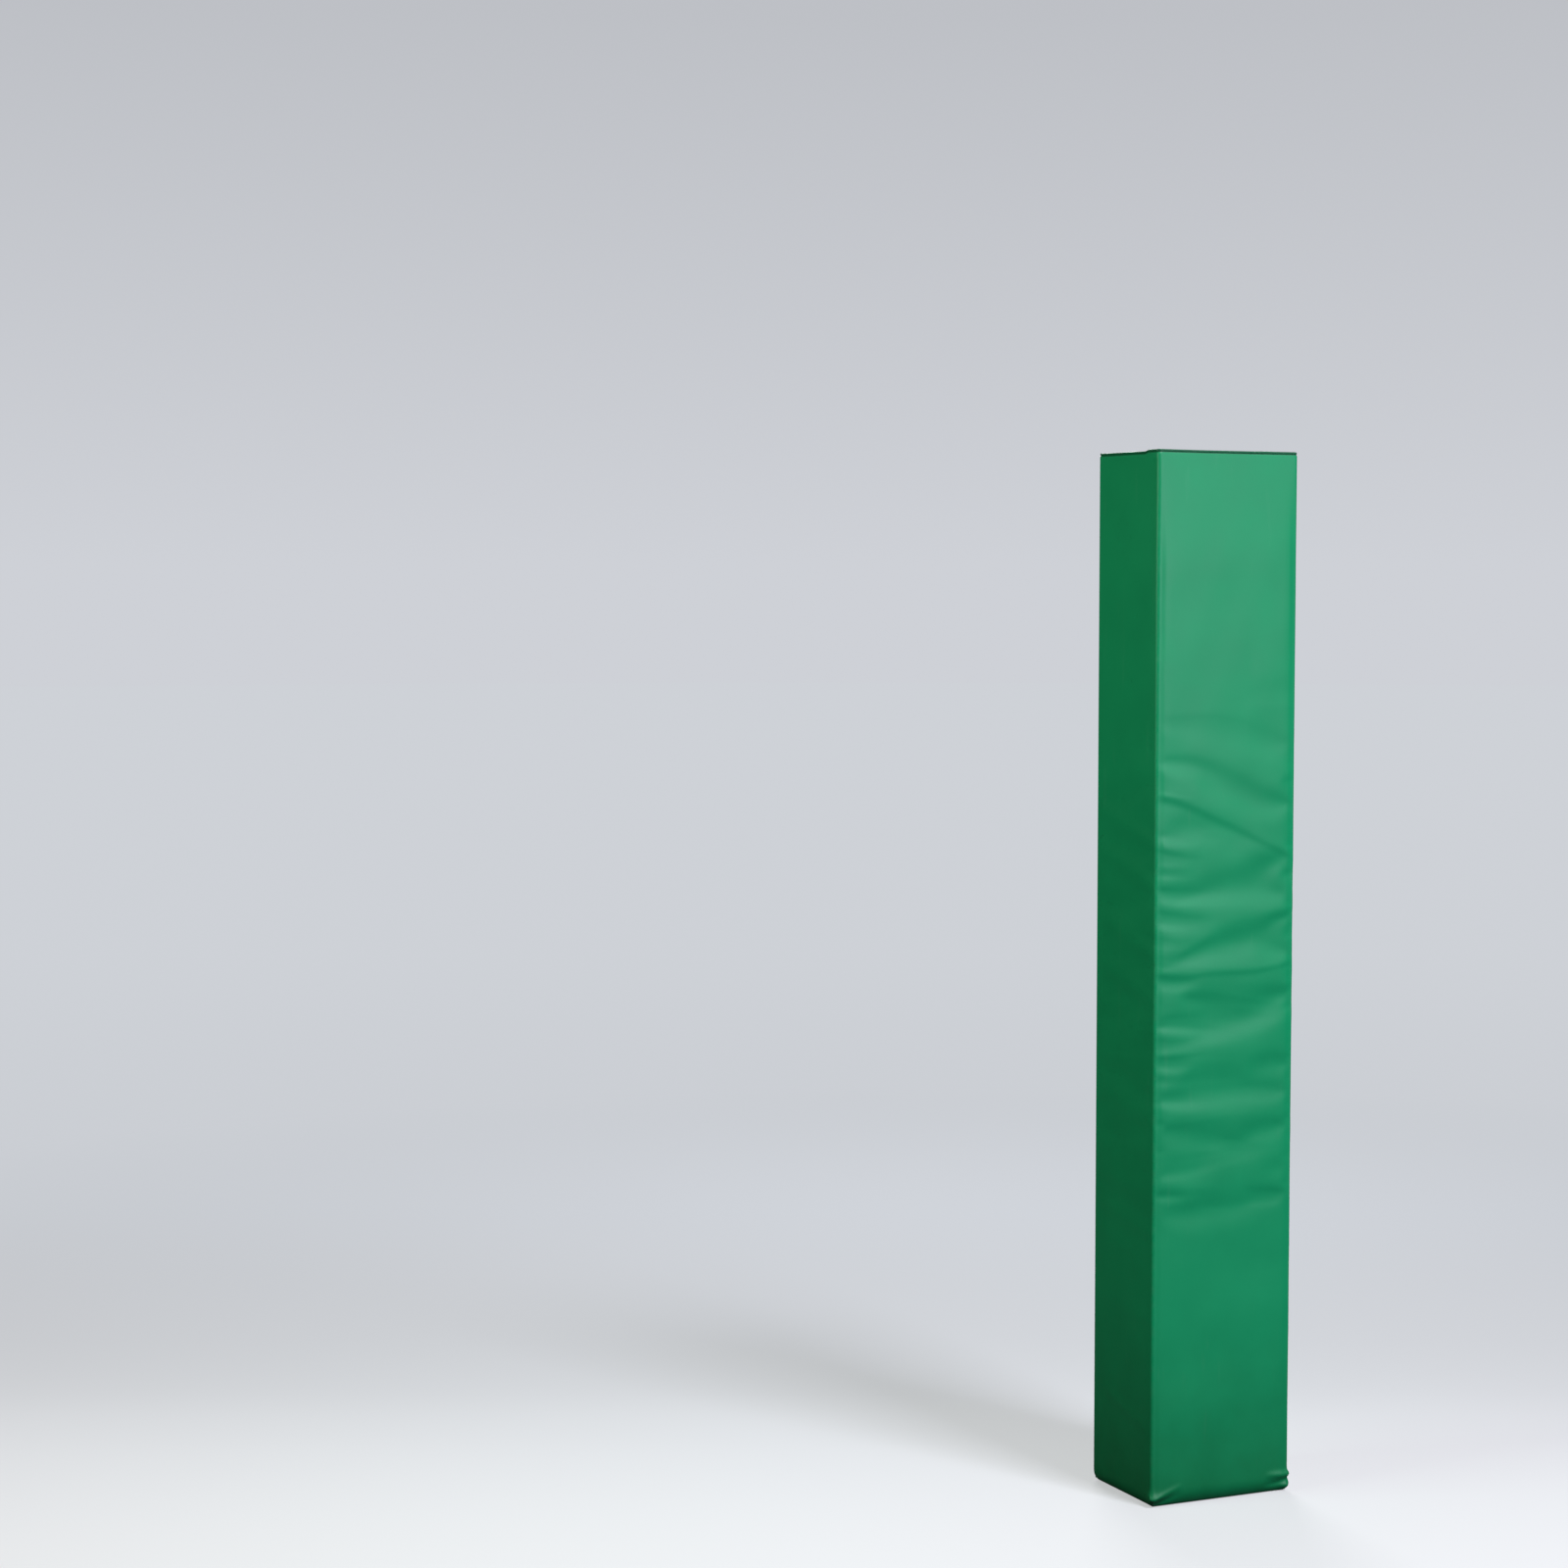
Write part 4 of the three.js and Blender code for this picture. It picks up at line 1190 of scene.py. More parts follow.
def stitches(name, paths, finish, settings):
    """Rows of stitches along paths."""
    values = {
        "Stitch Length": settings.stitch_length,
        "Gap": settings.stitch_gap,
        "Thread Radius": settings.thread_radius,
    }
    return grown(name, path_mesh(name, paths), "stitch_row", values, finish)


# Operators

# How far threads and eyelets stand off the surface under them
THREAD_LIFT = 0.0002


def sewn_in(piece, panel, node):
    """Attaches a sheet sewn in tight over one panel's foam to that panel, and hides the node it stands in
    for.
    """
    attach(piece, f"{panel}_panel")
    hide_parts(node)


class PadOperator:
    """What every step of the build shares."""

    bl_options = {"REGISTER", "UNDO"}


class POLEPAD_OT_finishes(PadOperator, bpy.types.Operator):
    """Make the vinyl, foam, webbing, tape, thread and brass finishes"""

    bl_idname = "pole_pad.finishes"
    bl_label = "Finishes"

    def execute(self, context):
        """Builds the shared effects and trees first, then each finish."""
        for make in (
            make_vinyl_grain, make_handling_marks, make_edge_rub, make_weave,
            make_stitch_tree, make_eyelet_tree, make_pile_tree,
        ):
            make()
        colours = context.scene.pole_pad_colours
        cover, liner, webbing = tuple(colours.cover), tuple(colours.liner), tuple(colours.webbing)
        # The last amount of each vinyl sets how strongly painted shade darkens its lowest part.
        vinyl_finish("satin_cover_vinyl", cover, roughness=0.42, dust=0.06, rubbing=0.08, painted_low_shade=0.52)
        vinyl_finish("matt_liner_vinyl", liner, roughness=0.48, dust=0.12, rubbing=0.12, painted_low_shade=0.2)
        foam_finish("open_foam", tuple(colours.foam))
        webbing_finish("woven_webbing", webbing, along=720.0, across=560.0)
        webbing_finish("tape_backing", webbing, along=1100.0, across=1100.0)
        pile_finish("hook_plastic", toned(webbing, 1.2), roughness=0.42)
        pile_finish("loop_pile", toned(webbing, 1.6), roughness=0.85)
        thread_finish("cover_thread", tuple(colours.cover_thread))
        thread_finish("strap_thread", tuple(colours.strap_thread))
        brass_finish("pressed_brass", tuple(colours.brass))
        return {"FINISHED"}


class POLEPAD_OT_foam_cores(PadOperator, bpy.types.Operator):
    """Make the three mitred foam cores"""

    bl_idname = "pole_pad.foam_cores"
    bl_label = "Foam Cores"

    def execute(self, context):
        """The front core spans both mitres, and each side core has one."""
        skin, liner, mitre = 0.0016, 0.0018, 0.0022
        outer, wall = FRONT + skin, HALF_WIDTH - skin
        inner, back, channel = CHANNEL_FRONT - liner, BACK - liner, CHANNEL + liner
        half, near = wall - mitre, outer + mitre
        run = inner - outer
        front = [(-half, outer), (half, outer), (half - run, inner), (run - half, inner)]
        left = [(-wall, near), (-channel, near + wall - channel), (-channel, back), (-wall, back)]
        right = [(-x, y) for x, y in reversed(left)]
        for panel, corners in (("front", front), ("left", left), ("right", right)):
            piece = foam_block(f"{panel}_foam", corners, 0.0042, HEIGHT - 0.0024, "open_foam")
            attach(piece, f"{panel}_panel")
            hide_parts(f"{panel}_foam_core")
        return {"FINISHED"}


class POLEPAD_OT_outer_cover(PadOperator, bpy.types.Operator):
    """Make the outer cover with its folds, hem and rolled bottom edge"""

    bl_idname = "pole_pad.outer_cover"
    bl_label = "Outer Cover"

    def execute(self, context):
        """One grid round the pad, cut near each front edge: the front piece rides on the front panel, the
        two side pieces are left unattached.
        """
        shape = context.scene.pole_pad_shape
        points, outline, outward, close, shade, height = cover_grid(shape)
        moved = settled(points, outline, outward, height, context.scene.pole_pad_cloth)
        points[:, :, :2] += moved[:, :, None] * outward[None]
        normals = grid_normals(points)
        rows, columns, _ = points.shape
        cut = np.stack(np.meshgrid(run_length(points[rows // 2]), run_length(points[:, columns // 2])), -1)
        first = grid_column(outline, outward, -HALF_WIDTH + shape.seam_inset)
        last = grid_column(outline, outward, HALF_WIDTH - shape.seam_inset)
        left, front, right = slice(0, first + 1), slice(first, last + 1), slice(last, columns)
        for name, side, part in (("left", -1, left), ("front", 0, front), ("right", 1, right)):
            piece = closed_sheet(
                f"{name}_cover", points[:, part], shape.vinyl_thickness, "satin_cover_vinyl",
                normals[:, part], cut[:, part], close[:, part], shade[:, part],
            )
            if side:
                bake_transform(piece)
            else:
                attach(piece, "front_panel")
            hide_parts(f"{name}_skin")
        return {"FINISHED"}


def vent_centres(name):
    """The middles of one side panel's vent eyelets."""
    boxes = [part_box(f"{name}_vent_eyelet_{k}") for k in range(1, VENT_COUNT + 1)]
    return [(low + high) / 2 for low, high in boxes]


class POLEPAD_OT_rear_facings(PadOperator, bpy.types.Operator):
    """Make the two vinyl facings behind the side panels, with their stitches and brass vent eyelets"""

    bl_idname = "pole_pad.rear_facings"
    bl_label = "Rear Facings"

    def execute(self, context):
        """Each facing runs from the cover's rear seam to the post channel."""
        low, high = 0.004, HEIGHT - 0.0016
        rim, edge = HALF_WIDTH - 0.0046, CHANNEL + 0.0008
        for side, name in ((-1, "left"), (1, "right")):
            a, b = sorted((side * rim, side * edge), reverse=True)
            corners = [(a, BACK, low), (b, BACK, low), (b, BACK, high), (a, BACK, high)]
            piece, points = self.facing(name, corners, 41 + side)
            sewn_in(piece, name, f"{name}_rear_facing")
            self.topstitch(name, side, points, context.scene.pole_pad_straps)
            self.vents(name, points)
        return {"FINISHED"}

    def facing(self, name, corners, seed):
        """One facing, pressed in under each strap, swelling between them and open at its eyelets."""
        (a, _, low), (b, _, _), (_, _, high), _ = corners
        wide, tall, half = a - b, high - low, 0.0044
        centres = vent_centres(name)
        x = centres[0].x
        across = shares_round_gaps(26, wide, [(a - x - half, a - x + half)])
        up = shares_round_gaps(300, tall, [(c.z - low - half, c.z - low + half) for c in centres])
        column = int(np.searchsorted(across, (a - x) / wide)) - 1
        holes = [(int(np.searchsorted(up, (c.z - low) / tall)) - 1, column) for c in centres]
        heights = low + up * tall
        tape_low, tape_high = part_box("loop_tape_1")
        edge = (tape_high.z - tape_low.z) / 2
        ease = np.min([soft_step(np.abs(heights - z), edge + 0.003, edge + 0.06) for z in STRAP_HEIGHTS], 0)
        return sewn_sheet(
            f"{name}_facing", corners, up, across, "satin_cover_vinyl",
            crown=0.0027, tuck=0.0011, pucker=0.0007, seed=seed, ease=ease[:, None], holes=holes,
        )

    def topstitch(self, name, side, points, sewing):
        """Two rows of stitches, beside the rear seam and beside the post channel."""
        paths = []
        for x in (side * (HALF_WIDTH - 0.0105), side * (CHANNEL + 0.0055)):
            heights, depth = depth_line(points, x)
            paths.append([(x, y + THREAD_LIFT, z) for y, z in zip(depth[2:-2], heights[2:-2])])
        piece = stitches(f"{name}_facing_stitch", paths, "cover_thread", sewing)
        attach(piece, f"{name}_panel")

    def vents(self, name, points):
        """The brass eyelets of one facing."""
        centres = vent_centres(name)
        heights, depth = depth_line(points, centres[0].x)
        spots = [(c.x, float(np.interp(c.z, heights, depth)) + THREAD_LIFT, c.z) for c in centres]
        piece = grown(f"{name}_vents", seed_mesh(f"{name}_vents", spots), "vent_eyelet", {}, "pressed_brass")
        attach(piece, f"{name}_panel")
        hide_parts(*[f"{name}_vent_eyelet_{k}" for k in range(1, VENT_COUNT + 1)])


class POLEPAD_OT_liners(PadOperator, bpy.types.Operator):
    """Make the three liners that meet the post and the four mitre gussets"""

    bl_idname = "pole_pad.liners"
    bl_label = "Liners And Gussets"

    def execute(self, context):
        """Liners first, then the sheets on the mitred faces."""
        wall, front, back, inset = CHANNEL, CHANNEL_FRONT, BACK - 0.0012, 0.0005
        for panel, ends in (
            ("front", [(wall - inset, front), (inset - wall, front)]),
            ("left", [(-wall, front + inset), (-wall, back)]),
            ("right", [(wall, back), (wall, front + inset)]),
        ):
            self.lay(f"{panel}_lining", panel, f"{panel}_liner", ends, 0.0009, 0.0004, 51, crown=0.0007)
        rim, edge, gap = 0.0045, 0.0004, 0.00014
        for side, name in ((-1, "left"), (1, "right")):
            outer = np.array([side * (HALF_WIDTH - rim), FRONT + rim])
            inner = np.array([side * (CHANNEL + edge), CHANNEL_FRONT - edge])
            shift = np.array([-side * gap, -gap])
            facing_front, facing_side = [inner + shift, outer + shift], [outer - shift, inner - shift]
            for label, panel, ends in ((f"front_{name}", "front", facing_front), (name, name, facing_side)):
                ends = ends[::-1] if side > 0 else ends
                self.lay(f"{label}_mitre_sheet", panel, f"{label}_gusset", ends, 0.0004, 0.00012, 71)
        return {"FINISHED"}

    def lay(self, name, panel, node, ends, tuck, pucker, seed, crown=0.0):
        """One liner or gusset in place of its node, upright between two ends seen from above."""
        low, high = 0.004, HEIGHT - 0.0019
        first, last = ends
        corners = [(*first, low), (*last, low), (*last, high), (*first, high)]
        piece, points = sewn_sheet(name, corners, 260, 24, "matt_liner_vinyl", tuck, pucker, seed, crown)
        sewn_in(piece, panel, node)


class POLEPAD_OT_end_caps(PadOperator, bpy.types.Operator):
    """Make the top and bottom caps of the three panels"""

    bl_idname = "pole_pad.end_caps"
    bl_label = "End Caps"

    def execute(self, context):
        """Each cap is sewn inside the cover's turned edge."""
        mitre, rim = 0.0002, 0.0013
        inner_x, inner_y, rear = CHANNEL + rim, CHANNEL_FRONT - rim, BACK - rim
        for level, hem, height, crown, tuck in (
            ("top", 0.0052, HEIGHT - 0.0006, 0.0022, 0.0012), ("bottom", 0.0132, 0.0022, 0.0012, 0.0),
        ):
            outer_x, outer_y = HALF_WIDTH - hem, FRONT + hem
            wide, narrow = outer_x - mitre, inner_x - mitre
            front = [(-wide, outer_y), (wide, outer_y), (narrow, inner_y), (-narrow, inner_y)]
            far, near = outer_y + mitre, inner_y + mitre
            left = [(-outer_x, far), (-inner_x, near), (-inner_x, rear), (-outer_x, rear)]
            right = [(outer_x, far), (outer_x, rear), (inner_x, rear), (inner_x, near)]
            for panel, plan, columns in (("front", front, 70), ("left", left, 40), ("right", right, 40)):
                corners = [(x, y, height) for x, y in plan]
                if level == "bottom":
                    corners = [corners[0], corners[3], corners[2], corners[1]]
                piece, points = sewn_sheet(
                    f"{panel}_{level}_closure", corners, 40, columns, "satin_cover_vinyl",
                    crown=crown, tuck=tuck, pucker=0.0006, seed=91,
                )
                sewn_in(piece, panel, f"{panel}_{level}_cap")
                if level == "top":
                    self.topstitch(panel, points, context.scene.pole_pad_straps)
        return {"FINISHED"}

    def topstitch(self, panel, points, sewing):
        """A row of stitches round one top cap, a little inside its seam."""
        inset, steps = 0.0048, 60
        rows, columns, _ = points.shape
        wide = np.linalg.norm(points[rows // 2, -1] - points[rows // 2, 0])
        long = np.linalg.norm(points[-1, columns // 2] - points[0, columns // 2])
        u, v = inset / wide * (columns - 1), inset / long * (rows - 1)
        ring = [(u, v), (columns - 1 - u, v), (columns - 1 - u, rows - 1 - v), (u, rows - 1 - v), (u, v)]
        path = []
        for (u0, v0), (u1, v1) in zip(ring, ring[1:]):
            for t in np.linspace(0, 1, steps, endpoint=False):
                across, up = u0 + (u1 - u0) * t, v0 + (v1 - v0) * t
                i, j = min(int(up), rows - 2), min(int(across), columns - 2)
                a, b = up - i, across - j
                below = (1 - b) * points[i, j] + b * points[i, j + 1]
                above = (1 - b) * points[i + 1, j] + b * points[i + 1, j + 1]
                path.append((1 - a) * below + a * above + (0, 0, THREAD_LIFT))
        piece = stitches(f"{panel}_top_stitch", [path + path[:1]], "cover_thread", sewing)
        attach(piece, f"{panel}_panel")


def strap_path(k):
    """The middle of one strap's webbing from its sewn end to its folded tab, and its half thickness."""
    anchor_low, anchor_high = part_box(f"strap_anchor_{k}")
    tape_low, tape_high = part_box(f"hook_tape_{k}")
    tail_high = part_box(f"strap_{k}")[1]
    half = (anchor_high.y - anchor_low.y) / 2
    near, far = anchor_low.y + half, tail_high.y - half
    pivot, bend = FOLD[f"strap_{k}_peel"][0], 0.007
    channel, tape_start, tape_end = -CHANNEL + 0.004, tape_low.x - 0.002, tape_high.x + 0.002
    fold, radius, dip = tail_high.x - half * 1.15, half * 1.12, 0.0004
    spots = []
    for x0, x1, y0, y1, spacing in (
        (anchor_low.x, pivot - bend, near, near, 0.004),
        (pivot - bend, pivot + bend, near, near, 0.0007),
        (pivot + bend, channel, near, near, 0.003),
        (channel, tape_start, near, far, 0.004),
        (tape_start, tape_end, far, far, 0.004),
        (tape_end, fold, far, far - dip, 0.003),
    ):
        count = max(2, int(round((x1 - x0) / spacing)))
        for t in np.linspace(0, 1, count, endpoint=False):
            spots.append((x0 + (x1 - x0) * t, y0 + (y1 - y0) * soft_step(t, 0, 1)))
    outer = far - dip
    inner = outer - 2 * radius
    for angle in np.radians(np.linspace(90, -90, 9)):
        spots.append((fold + radius * math.cos(angle), (outer + inner) / 2 + radius * math.sin(angle)))
    spots += [(x, inner) for x in np.linspace(fold, tape_high.x + 0.0022, 6)[1:]]
    return np.array(spots), half


def webbing_strip(name, k, finish):
    """One strap's webbing: a flat woven strip with rounded edges, swept along its path."""
    path, half = strap_path(k)
    anchor_low, anchor_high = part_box(f"strap_anchor_{k}")
    middle, wide = (anchor_low.z + anchor_high.z) / 2, (anchor_high.z - anchor_low.z) / 2
    along_x, along_y = np.gradient(path, axis=0).T
    length = np.hypot(along_x, along_y)
    edge = [(-wide + half * (1 - math.cos(a)), half * math.sin(a)) for a in np.radians((0, 30, 60, 90))]
    flat = [(z, half) for z in np.linspace(-wide + half, wide - half, 14)[1:-1]]
    top = edge + flat + [(-z, t) for z, t in edge[::-1]]
    level, depth = np.array(top + [(z, -t) for z, t in top[::-1][1:-1]]).T
    rows, columns = len(path), len(level)
    points = np.zeros((rows, columns, 3))
    points[:, :, 0] = path[:, :1] - (along_y / length)[:, None] * depth
    points[:, :, 1] = path[:, 1:] + (along_x / length)[:, None] * depth
    points[:, :, 2] = middle + level
    index = np.arange(rows * columns).reshape(rows, columns)
    after = np.roll(index, -1, axis=1)
    faces = np.stack([index[:-1], index[1:], after[1:], after[:-1]], -1).reshape(-1, 4).tolist()
    faces += [index[0].tolist(), index[-1][::-1].tolist()]
    mesh = smooth_mesh(name, points.reshape(-1, 3).tolist(), faces)
    uv = np.stack([np.repeat(run_length(path), columns), np.tile(level + wide, rows)], 1)
    mesh.uv_layers.new(name="cut").data.foreach_set("uv", uv[np.concatenate(faces)].ravel())
    mesh.validate(clean_customdata=False)
    piece = new_object(name, mesh, finish)
    fix_outward(piece)
    return piece


def fix_outward(piece):
    """Turns every face of a closed mesh outwards."""
    shell = bmesh.new()
    shell.from_mesh(piece.data)
    bmesh.ops.recalc_face_normals(shell, faces=shell.faces)
    if shell.calc_volume(signed=True) < 0:
        bmesh.ops.reverse_faces(shell, faces=shell.faces)
    shell.to_mesh(piece.data)
    shell.free()


class POLEPAD_OT_straps(PadOperator, bpy.types.Operator):
    """Make the five webbing straps with their sewn ends and folded tabs"""

    bl_idname = "pole_pad.straps"
    bl_label = "Straps"

    def execute(self, context):
        """Each strap is one length of webbing from its sewn end to its folded tab, its points closer
        together where it leaves its sewn end.
        """
        sewing = context.scene.pole_pad_straps
        for k in range(1, STRAP_COUNT + 1):
            piece = webbing_strip(f"strap_webbing_{k}", k, "woven_webbing")
            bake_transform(piece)
            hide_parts(f"strap_anchor_{k}", f"strap_{k}")
            self.anchor_stitches(k, sewing)
            self.tail_stitches(k, sewing)
        return {"FINISHED"}

    def anchor_stitches(self, k, sewing):
        """A sewn box with a cross through it."""
        side_inset, peel_inset, end_inset = 0.004, 0.009, 0.005
        low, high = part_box(f"strap_anchor_{k}")
        y = high.y
        x0, x1 = low.x + side_inset, high.x - peel_inset
        z0, z1 = low.z + end_inset, high.z - end_inset
        box = [(x0, y, z0), (x1, y, z0), (x1, y, z1), (x0, y, z1), (x0, y, z0)]
        cross = [[(x0, y, z0), (x1, y, z1)], [(x0, y, z1), (x1, y, z0)]]
        piece = stitches(f"strap_box_stitch_{k}", [box, *cross], "strap_thread", sewing)
        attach(piece, "left_panel")

    def tail_stitches(self, k, sewing):
        """A row round the hook tape and two rows across the tab."""
        inset, sunk, tab_rows = 0.002, 0.0003, (0.0055, 0.009)
        low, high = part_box(f"hook_tape_{k}")
        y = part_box(f"strap_{k}")[1].y
        x0, x1 = low.x + inset, high.x - inset
        z0, z1 = low.z + inset, high.z - inset
        paths = [[(x0, y, z0), (x1, y, z0), (x1, y, z1), (x0, y, z1), (x0, y, z0)]]
        for row in tab_rows:
            x = high.x + row
            paths.append([(x, y - sunk, low.z), (x, y - sunk, high.z)])
        piece = stitches(f"strap_tab_stitch_{k}", paths, "strap_thread", sewing)
        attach(piece, f"strap_{k}")


class POLEPAD_OT_fastening_tapes(PadOperator, bpy.types.Operator):
    """Make the hook tapes on the straps and the loop tapes on the right panel"""

    bl_idname = "pole_pad.fastening_tapes"
    bl_label = "Fastening Tapes"

    def execute(self, context):
        """Each tape has a woven backing and a field of hooks or loops."""
        rows = context.scene.pole_pad_straps.hook_rows
        hooks = {"Width": 0.0009, "Thread Radius": 0.00017, "Wander": 0.06}
        loops = {"Width": 0.0013, "Thread Radius": 0.00012, "Wander": 0.5}
        for k in range(1, STRAP_COUNT + 1):
            self.tape("hook", k, f"strap_{k}", -1, rows, hooks, "hook_plastic")
            self.tape("loop", k, "right_panel", 1, rows, loops, "loop_pile")
        return {"FINISHED"}

    def tape(self, kind, k, body, facing, rows, pile_shape, finish):
        """One tape in place of its node: facing is 1 away from the pad and -1 towards it."""
        node = f"{kind}_tape_{k}"
        backing, margin, clear, stagger = 0.0005, 0.0025, 0.0003, 0.0007
        low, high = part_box(node)
        y = low.y + backing if facing > 0 else high.y - backing
        x0, x1 = (high.x, low.x) if facing > 0 else (low.x, high.x)
        corners = [(x0, y, low.z), (x1, y, low.z), (x1, y, high.z), (x0, y, high.z)]
        base = closed_sheet(f"{node}_backing", four_sided(corners, 8, 8), backing, "tape_backing")
        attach(base, body)
        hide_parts(node)
        xs = np.linspace(low.x + margin, high.x - margin, rows)
        zs = np.linspace(low.z + margin, high.z - margin, rows)
        points = [(x + (stagger if j % 2 else 0), y, z) for j, z in enumerate(zs) for x in xs[:-1]]
        rise = high.y - low.y - backing - clear
        values = {**pile_shape, "Rise": rise, "Facing": float(facing), "Seed": 7 + k}
        pile = grown(f"{node}_pile", seed_mesh(node, points), "tape_pile", values, finish)
        fix_outward(pile)
        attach(pile, body)


def seen_share(tree, mirrored):
    """Whole where the eye looks, also through clear pieces, and a small share in what mirrors it."""
    rays = add(tree, "ShaderNodeLightPath").outputs
    eye = calculate(tree, "MAXIMUM", rays["Is Camera Ray"], rays["Is Transmission Ray"])
    faint = calculate(tree, "MULTIPLY", rays["Is Glossy Ray"], mirrored)
    return calculate(tree, "MAXIMUM", eye, faint)


class POLEPAD_OT_stage(PadOperator, bpy.types.Operator):
    """Set the floor, the lamps and the camera"""

    bl_idname = "pole_pad.stage"
    bl_label = "Stage"

    def execute(self, context):
        """A pale floor, a lamp high in front, weaker ones round the pad and the photograph's viewpoint."""
        stage = context.scene.pole_pad_stage
        self.floor(stage)
        self.air(context.scene, stage)
        self.lamp("key_lamp", (1.1, -5.2, 7.6), (0.0, -0.1, 1.0), 2.0, stage.key_power, (0.97, 1.0, 1.08))
        self.lamp(
            "sheen_lamp", (1.5, -4.2, 1.93), (0.0, -0.1, 1.05), 1.3, stage.sheen_power, (0.93, 0.98, 1.2),
        )
        self.lamp("fill_lamp", (-2.3, 0.0, 2.1), (-0.14, 0.0, 1.0), 1.0, stage.fill_power, (0.74, 1.0, 0.86))
        self.lamp("rear_lamp", (1.2, 3.6, 3.0), (0.0, 0.1, 0.9), 1.6, stage.rear_power, (1.0, 1.0, 1.0))
        self.camera(context.scene)
        return {"FINISHED"}

    def floor(self, stage):
        """A wide floor, pale to the eye and darker to the light that bounces."""
        parts = 48
        turns = [2 * math.pi * k / parts for k in range(parts)]
        points = [(0.0, 0.0, 0.0)]
        for r in (0.6, 1.2, 2.5, 5.0, 10.0, 20.0, 40.0):
            points += [(r * math.cos(turn), r * math.sin(turn), 0.0) for turn in turns]
        faces = [(0, 1 + k, 1 + (k + 1) % parts) for k in range(parts)]
        for a in range(1, len(points) - parts, parts):
            b = a + parts
            faces += [(a + k, b + k, b + (k + 1) % parts, a + (k + 1) % parts) for k in range(parts)]
        mesh = bpy.data.meshes.new("floor")
        mesh.from_pydata(points, [], faces)
        tree, _, place = finish_base("floor_paint", tuple(stage.floor), 0.9, 0.0)
        surface = self.floor_surface(tree, place, stage)
        feed(tree, tree.nodes["Material Output"].inputs["Surface"], surface)
        new_object("floor", mesh, "floor_paint")

    def floor_surface(self, tree, place, stage):
        """The floor's shader: its tone follows the depth from the eye and fades into the air far off."""
        view, far_tone = (0.411, 0.912, 0.0), 0.636
        along = add(tree, "ShaderNodeVectorMath", {"operation": "DOT_PRODUCT"}, Vector=place)
        along.inputs[1].default_value = view
        depth = along.outputs["Value"]
        reach = add(tree, "ShaderNodeVectorMath", {"operation": "LENGTH"}, Vector=place).outputs["Value"]
        tone = add(tree, "ShaderNodeFloatCurve", Value=map_range(tree, depth, -2.0, 8.0))
        curve = tone.mapping.curves[0]
        curve.points[0].location, curve.points[1].location = (0.0, 0.845), (1.0, 0.632)
        for spot in ((0.16, 0.79), (0.20, 0.757), (0.24, 0.70), (0.28, 0.627), (0.325, 0.60), (0.5, 0.61)):
            curve.points.new(*spot)
        tone.mapping.update()
        fading = add(tree, "ShaderNodeMix", Factor=map_range(tree, reach, 6.0, 20.0))
        feed(tree, fading.inputs[2], tone.outputs["Value"])
        feed(tree, fading.inputs[3], far_tone)
        away = map_range(tree, depth, -0.4, 2.5)
        tint = mix_colour(tree, away, tuple(stage.floor), tuple(stage.far_floor))
        scaled = add(
            tree, "ShaderNodeVectorMath", {"operation": "SCALE"}, Vector=tint, Scale=fading.outputs[0],
        )
        paint = add(tree, "ShaderNodeBsdfDiffuse", Color=scaled.outputs[0]).outputs["BSDF"]
        glow = add(tree, "ShaderNodeEmission", Color=scaled.outputs[0]).outputs["Emission"]
        pale = mix_shaders(tree, map_range(tree, reach, 0.8, 4.5, stage.floor_glow, 1.0), paint, glow)
        dark = add(tree, "ShaderNodeBsdfDiffuse", Color=(0.05, 0.05, 0.055, 1)).outputs["BSDF"]
        return mix_shaders(tree, seen_share(tree, stage.mirrored_share), dark, pale)

    def air(self, scene, stage):
        """Even light from all round, with the backdrop's tone where the eye sees it."""
        world = bpy.data.worlds.new("pale_room")
        scene.world = world
        world.use_nodes = True
        tree = world.node_tree
        light = tree.nodes["Background"]
        light.inputs["Color"].default_value = (1, 1, 1, 1)
        light.inputs["Strength"].default_value = stage.air_light
        way = add(tree, "ShaderNodeTexCoord").outputs["Generated"]
        upward = map_range(tree, add(tree, "ShaderNodeSeparateXYZ", Vector=way).outputs["Z"], 0.0, 0.16)
        tone = mix_colour(tree, upward, tuple(stage.distance), toned(stage.distance, 0.83))
        seen = add(tree, "ShaderNodeBackground", Color=tone).outputs["Background"]
        share = seen_share(tree, stage.mirrored_share)
        surface = mix_shaders(tree, share, light.outputs["Background"], seen)
        feed(tree, tree.nodes["World Output"].inputs["Surface"], surface)

    def lamp(self, name, spot, target, size, power, colour):
        """A square soft lamp aimed at a point."""
        light = bpy.data.lights.new(name, "AREA")
        light.shape = "SQUARE"
        light.size = size
        light.energy = power
        light.color = colour
        lamp = bpy.data.objects.new(name, light)
        bpy.context.scene.collection.objects.link(lamp)
        lamp.location = spot
        lamp.rotation_euler = (Vector(target) - Vector(spot)).to_track_quat("-Z", "Y").to_euler()
        lamp.visible_camera = False

    def camera(self, scene):
        """The photograph's viewpoint: left of the front face and a little above the middle."""
        view = bpy.data.cameras.new("camera")
        view.sensor_fit = "HORIZONTAL"
        view.sensor_width = 36.0
        view.lens = 76.58
        view.clip_end = 200.0
        camera = bpy.data.objects.new("camera", view)
        scene.collection.objects.link(camera)
        camera.location = (-3.0588, -5.0297, 1.6373)
        camera.rotation_euler = (math.radians(90 - 3.786), 0.0, math.radians(-24.2586))
        scene.camera = camera


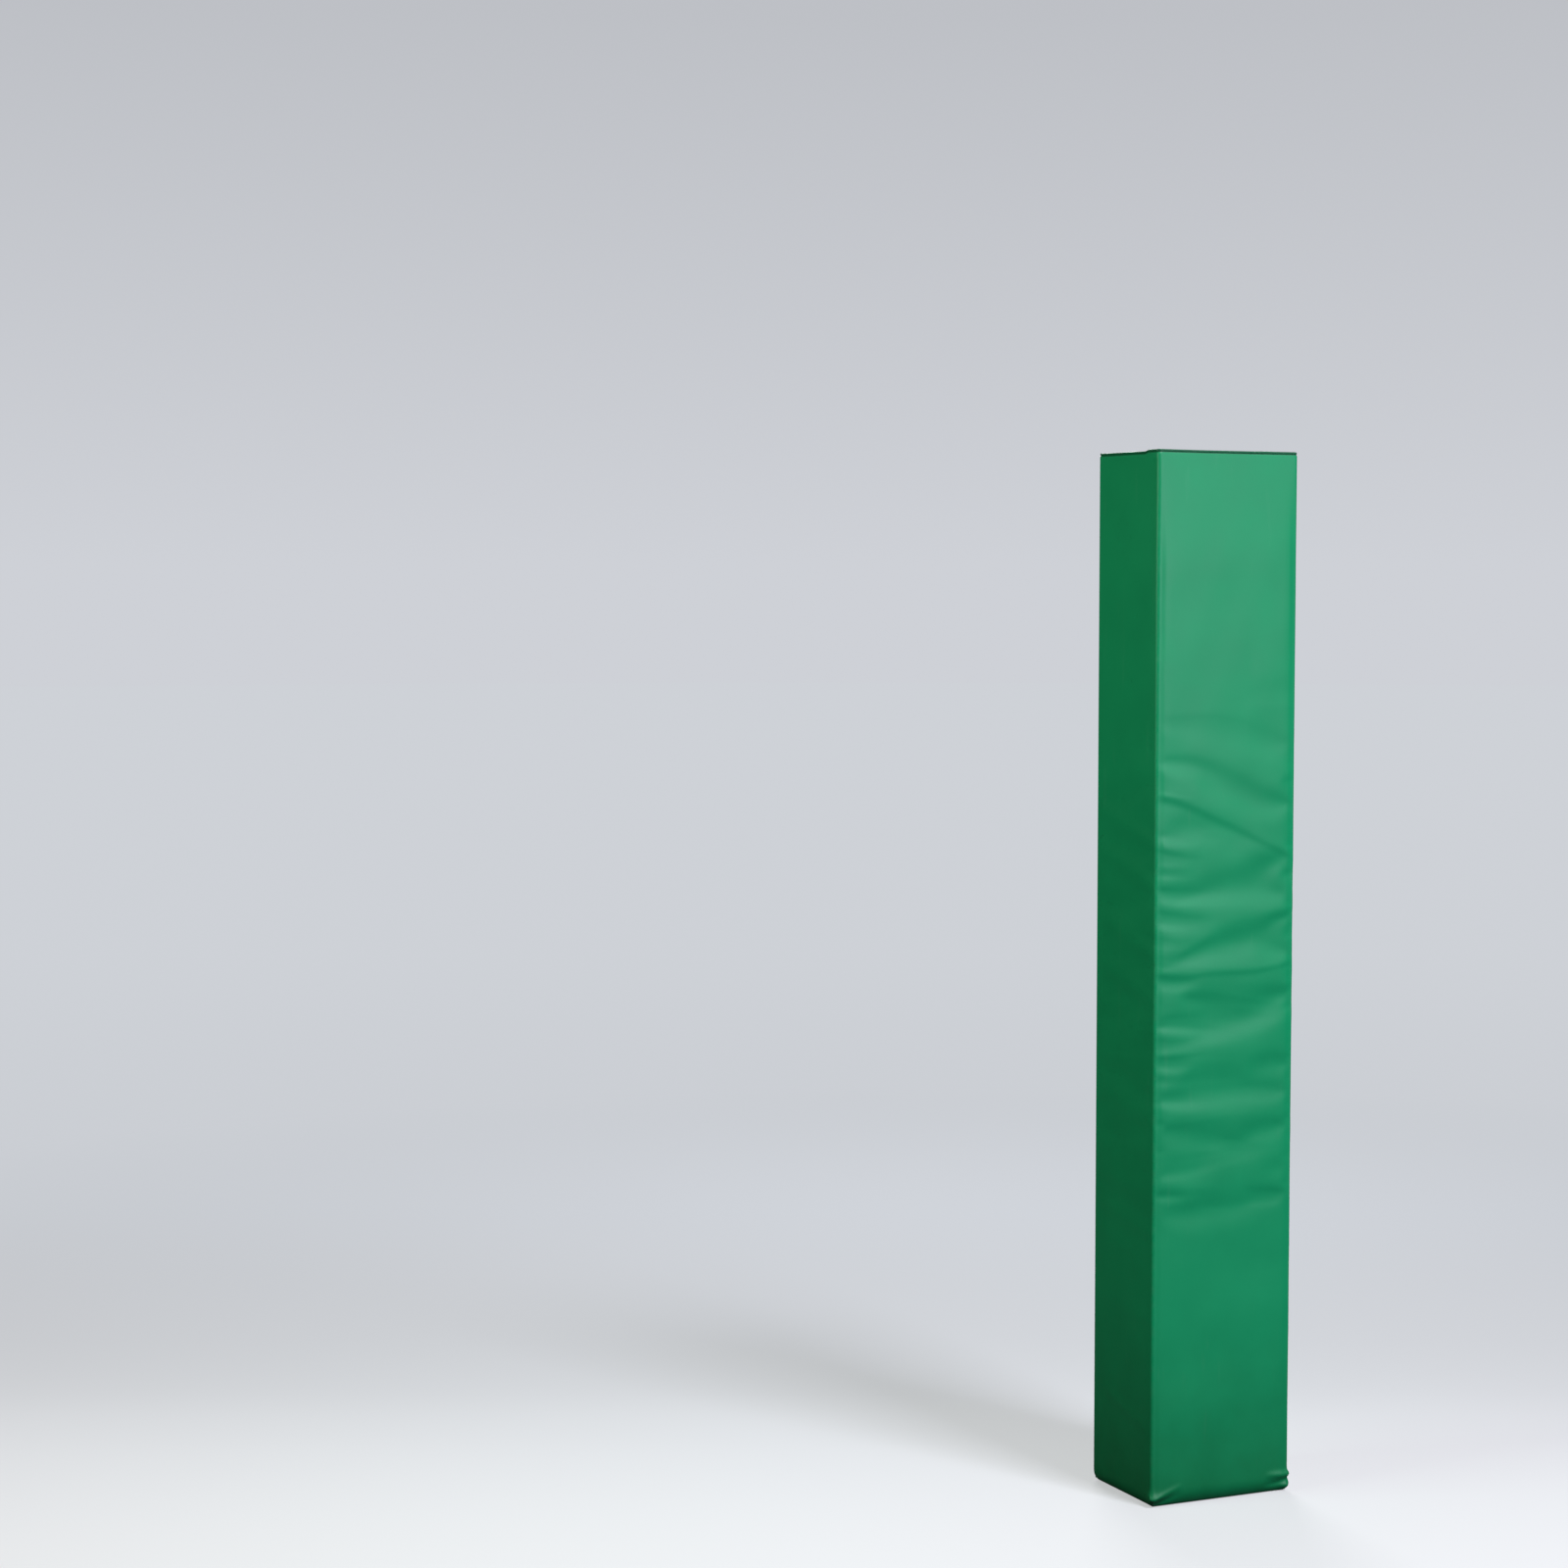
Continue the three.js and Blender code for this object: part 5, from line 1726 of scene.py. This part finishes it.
class POLEPAD_PT_build(bpy.types.Panel):
    """Lists the steps that build the pole pad"""

    bl_label = "Pole Pad"
    bl_idname = "POLEPAD_PT_build"
    bl_space_type = "VIEW_3D"
    bl_region_type = "UI"
    bl_category = "Pole Pad"

    def draw(self, context):
        """One button for each step, then the settings."""
        for step in STEPS:
            self.layout.operator(step.bl_idname)
        for label, _ in SETTINGS:
            settings = getattr(context.scene, label)
            box = self.layout.box()
            for prop in settings.bl_rna.properties:
                if prop.identifier not in ("rna_type", "name"):
                    box.prop(settings, prop.identifier)


STEPS = (
    POLEPAD_OT_finishes,
    POLEPAD_OT_stage,
    POLEPAD_OT_foam_cores,
    POLEPAD_OT_outer_cover,
    POLEPAD_OT_rear_facings,
    POLEPAD_OT_liners,
    POLEPAD_OT_end_caps,
    POLEPAD_OT_straps,
    POLEPAD_OT_fastening_tapes,
)
SETTINGS = (
    ("pole_pad_shape", PadShapeSettings),
    ("pole_pad_cloth", PadClothSettings),
    ("pole_pad_straps", PadStrapSettings),
    ("pole_pad_colours", PadColourSettings),
    ("pole_pad_stage", PadStageSettings),
)


def register():
    """Registers the settings, the steps and the panel."""
    for label, settings in SETTINGS:
        bpy.utils.register_class(settings)
        setattr(bpy.types.Scene, label, PointerProperty(type=settings))
    for step in (*STEPS, POLEPAD_PT_build):
        bpy.utils.register_class(step)


def unregister():
    """Removes what register added."""
    for step in reversed((*STEPS, POLEPAD_PT_build)):
        bpy.utils.unregister_class(step)
    for label, settings in reversed(SETTINGS):
        delattr(bpy.types.Scene, label)
        bpy.utils.unregister_class(settings)


def main():
    """Builds the pad and its stage."""
    register()
    bpy.context.scene.view_settings.view_transform = "Standard"
    bpy.ops.pole_pad.finishes()
    bpy.ops.pole_pad.stage()
    bpy.ops.pole_pad.foam_cores()
    bpy.ops.pole_pad.outer_cover()
    bpy.ops.pole_pad.rear_facings()
    bpy.ops.pole_pad.liners()
    bpy.ops.pole_pad.end_caps()
    bpy.ops.pole_pad.straps()
    bpy.ops.pole_pad.fastening_tapes()


if __name__ == "__main__":
    main()
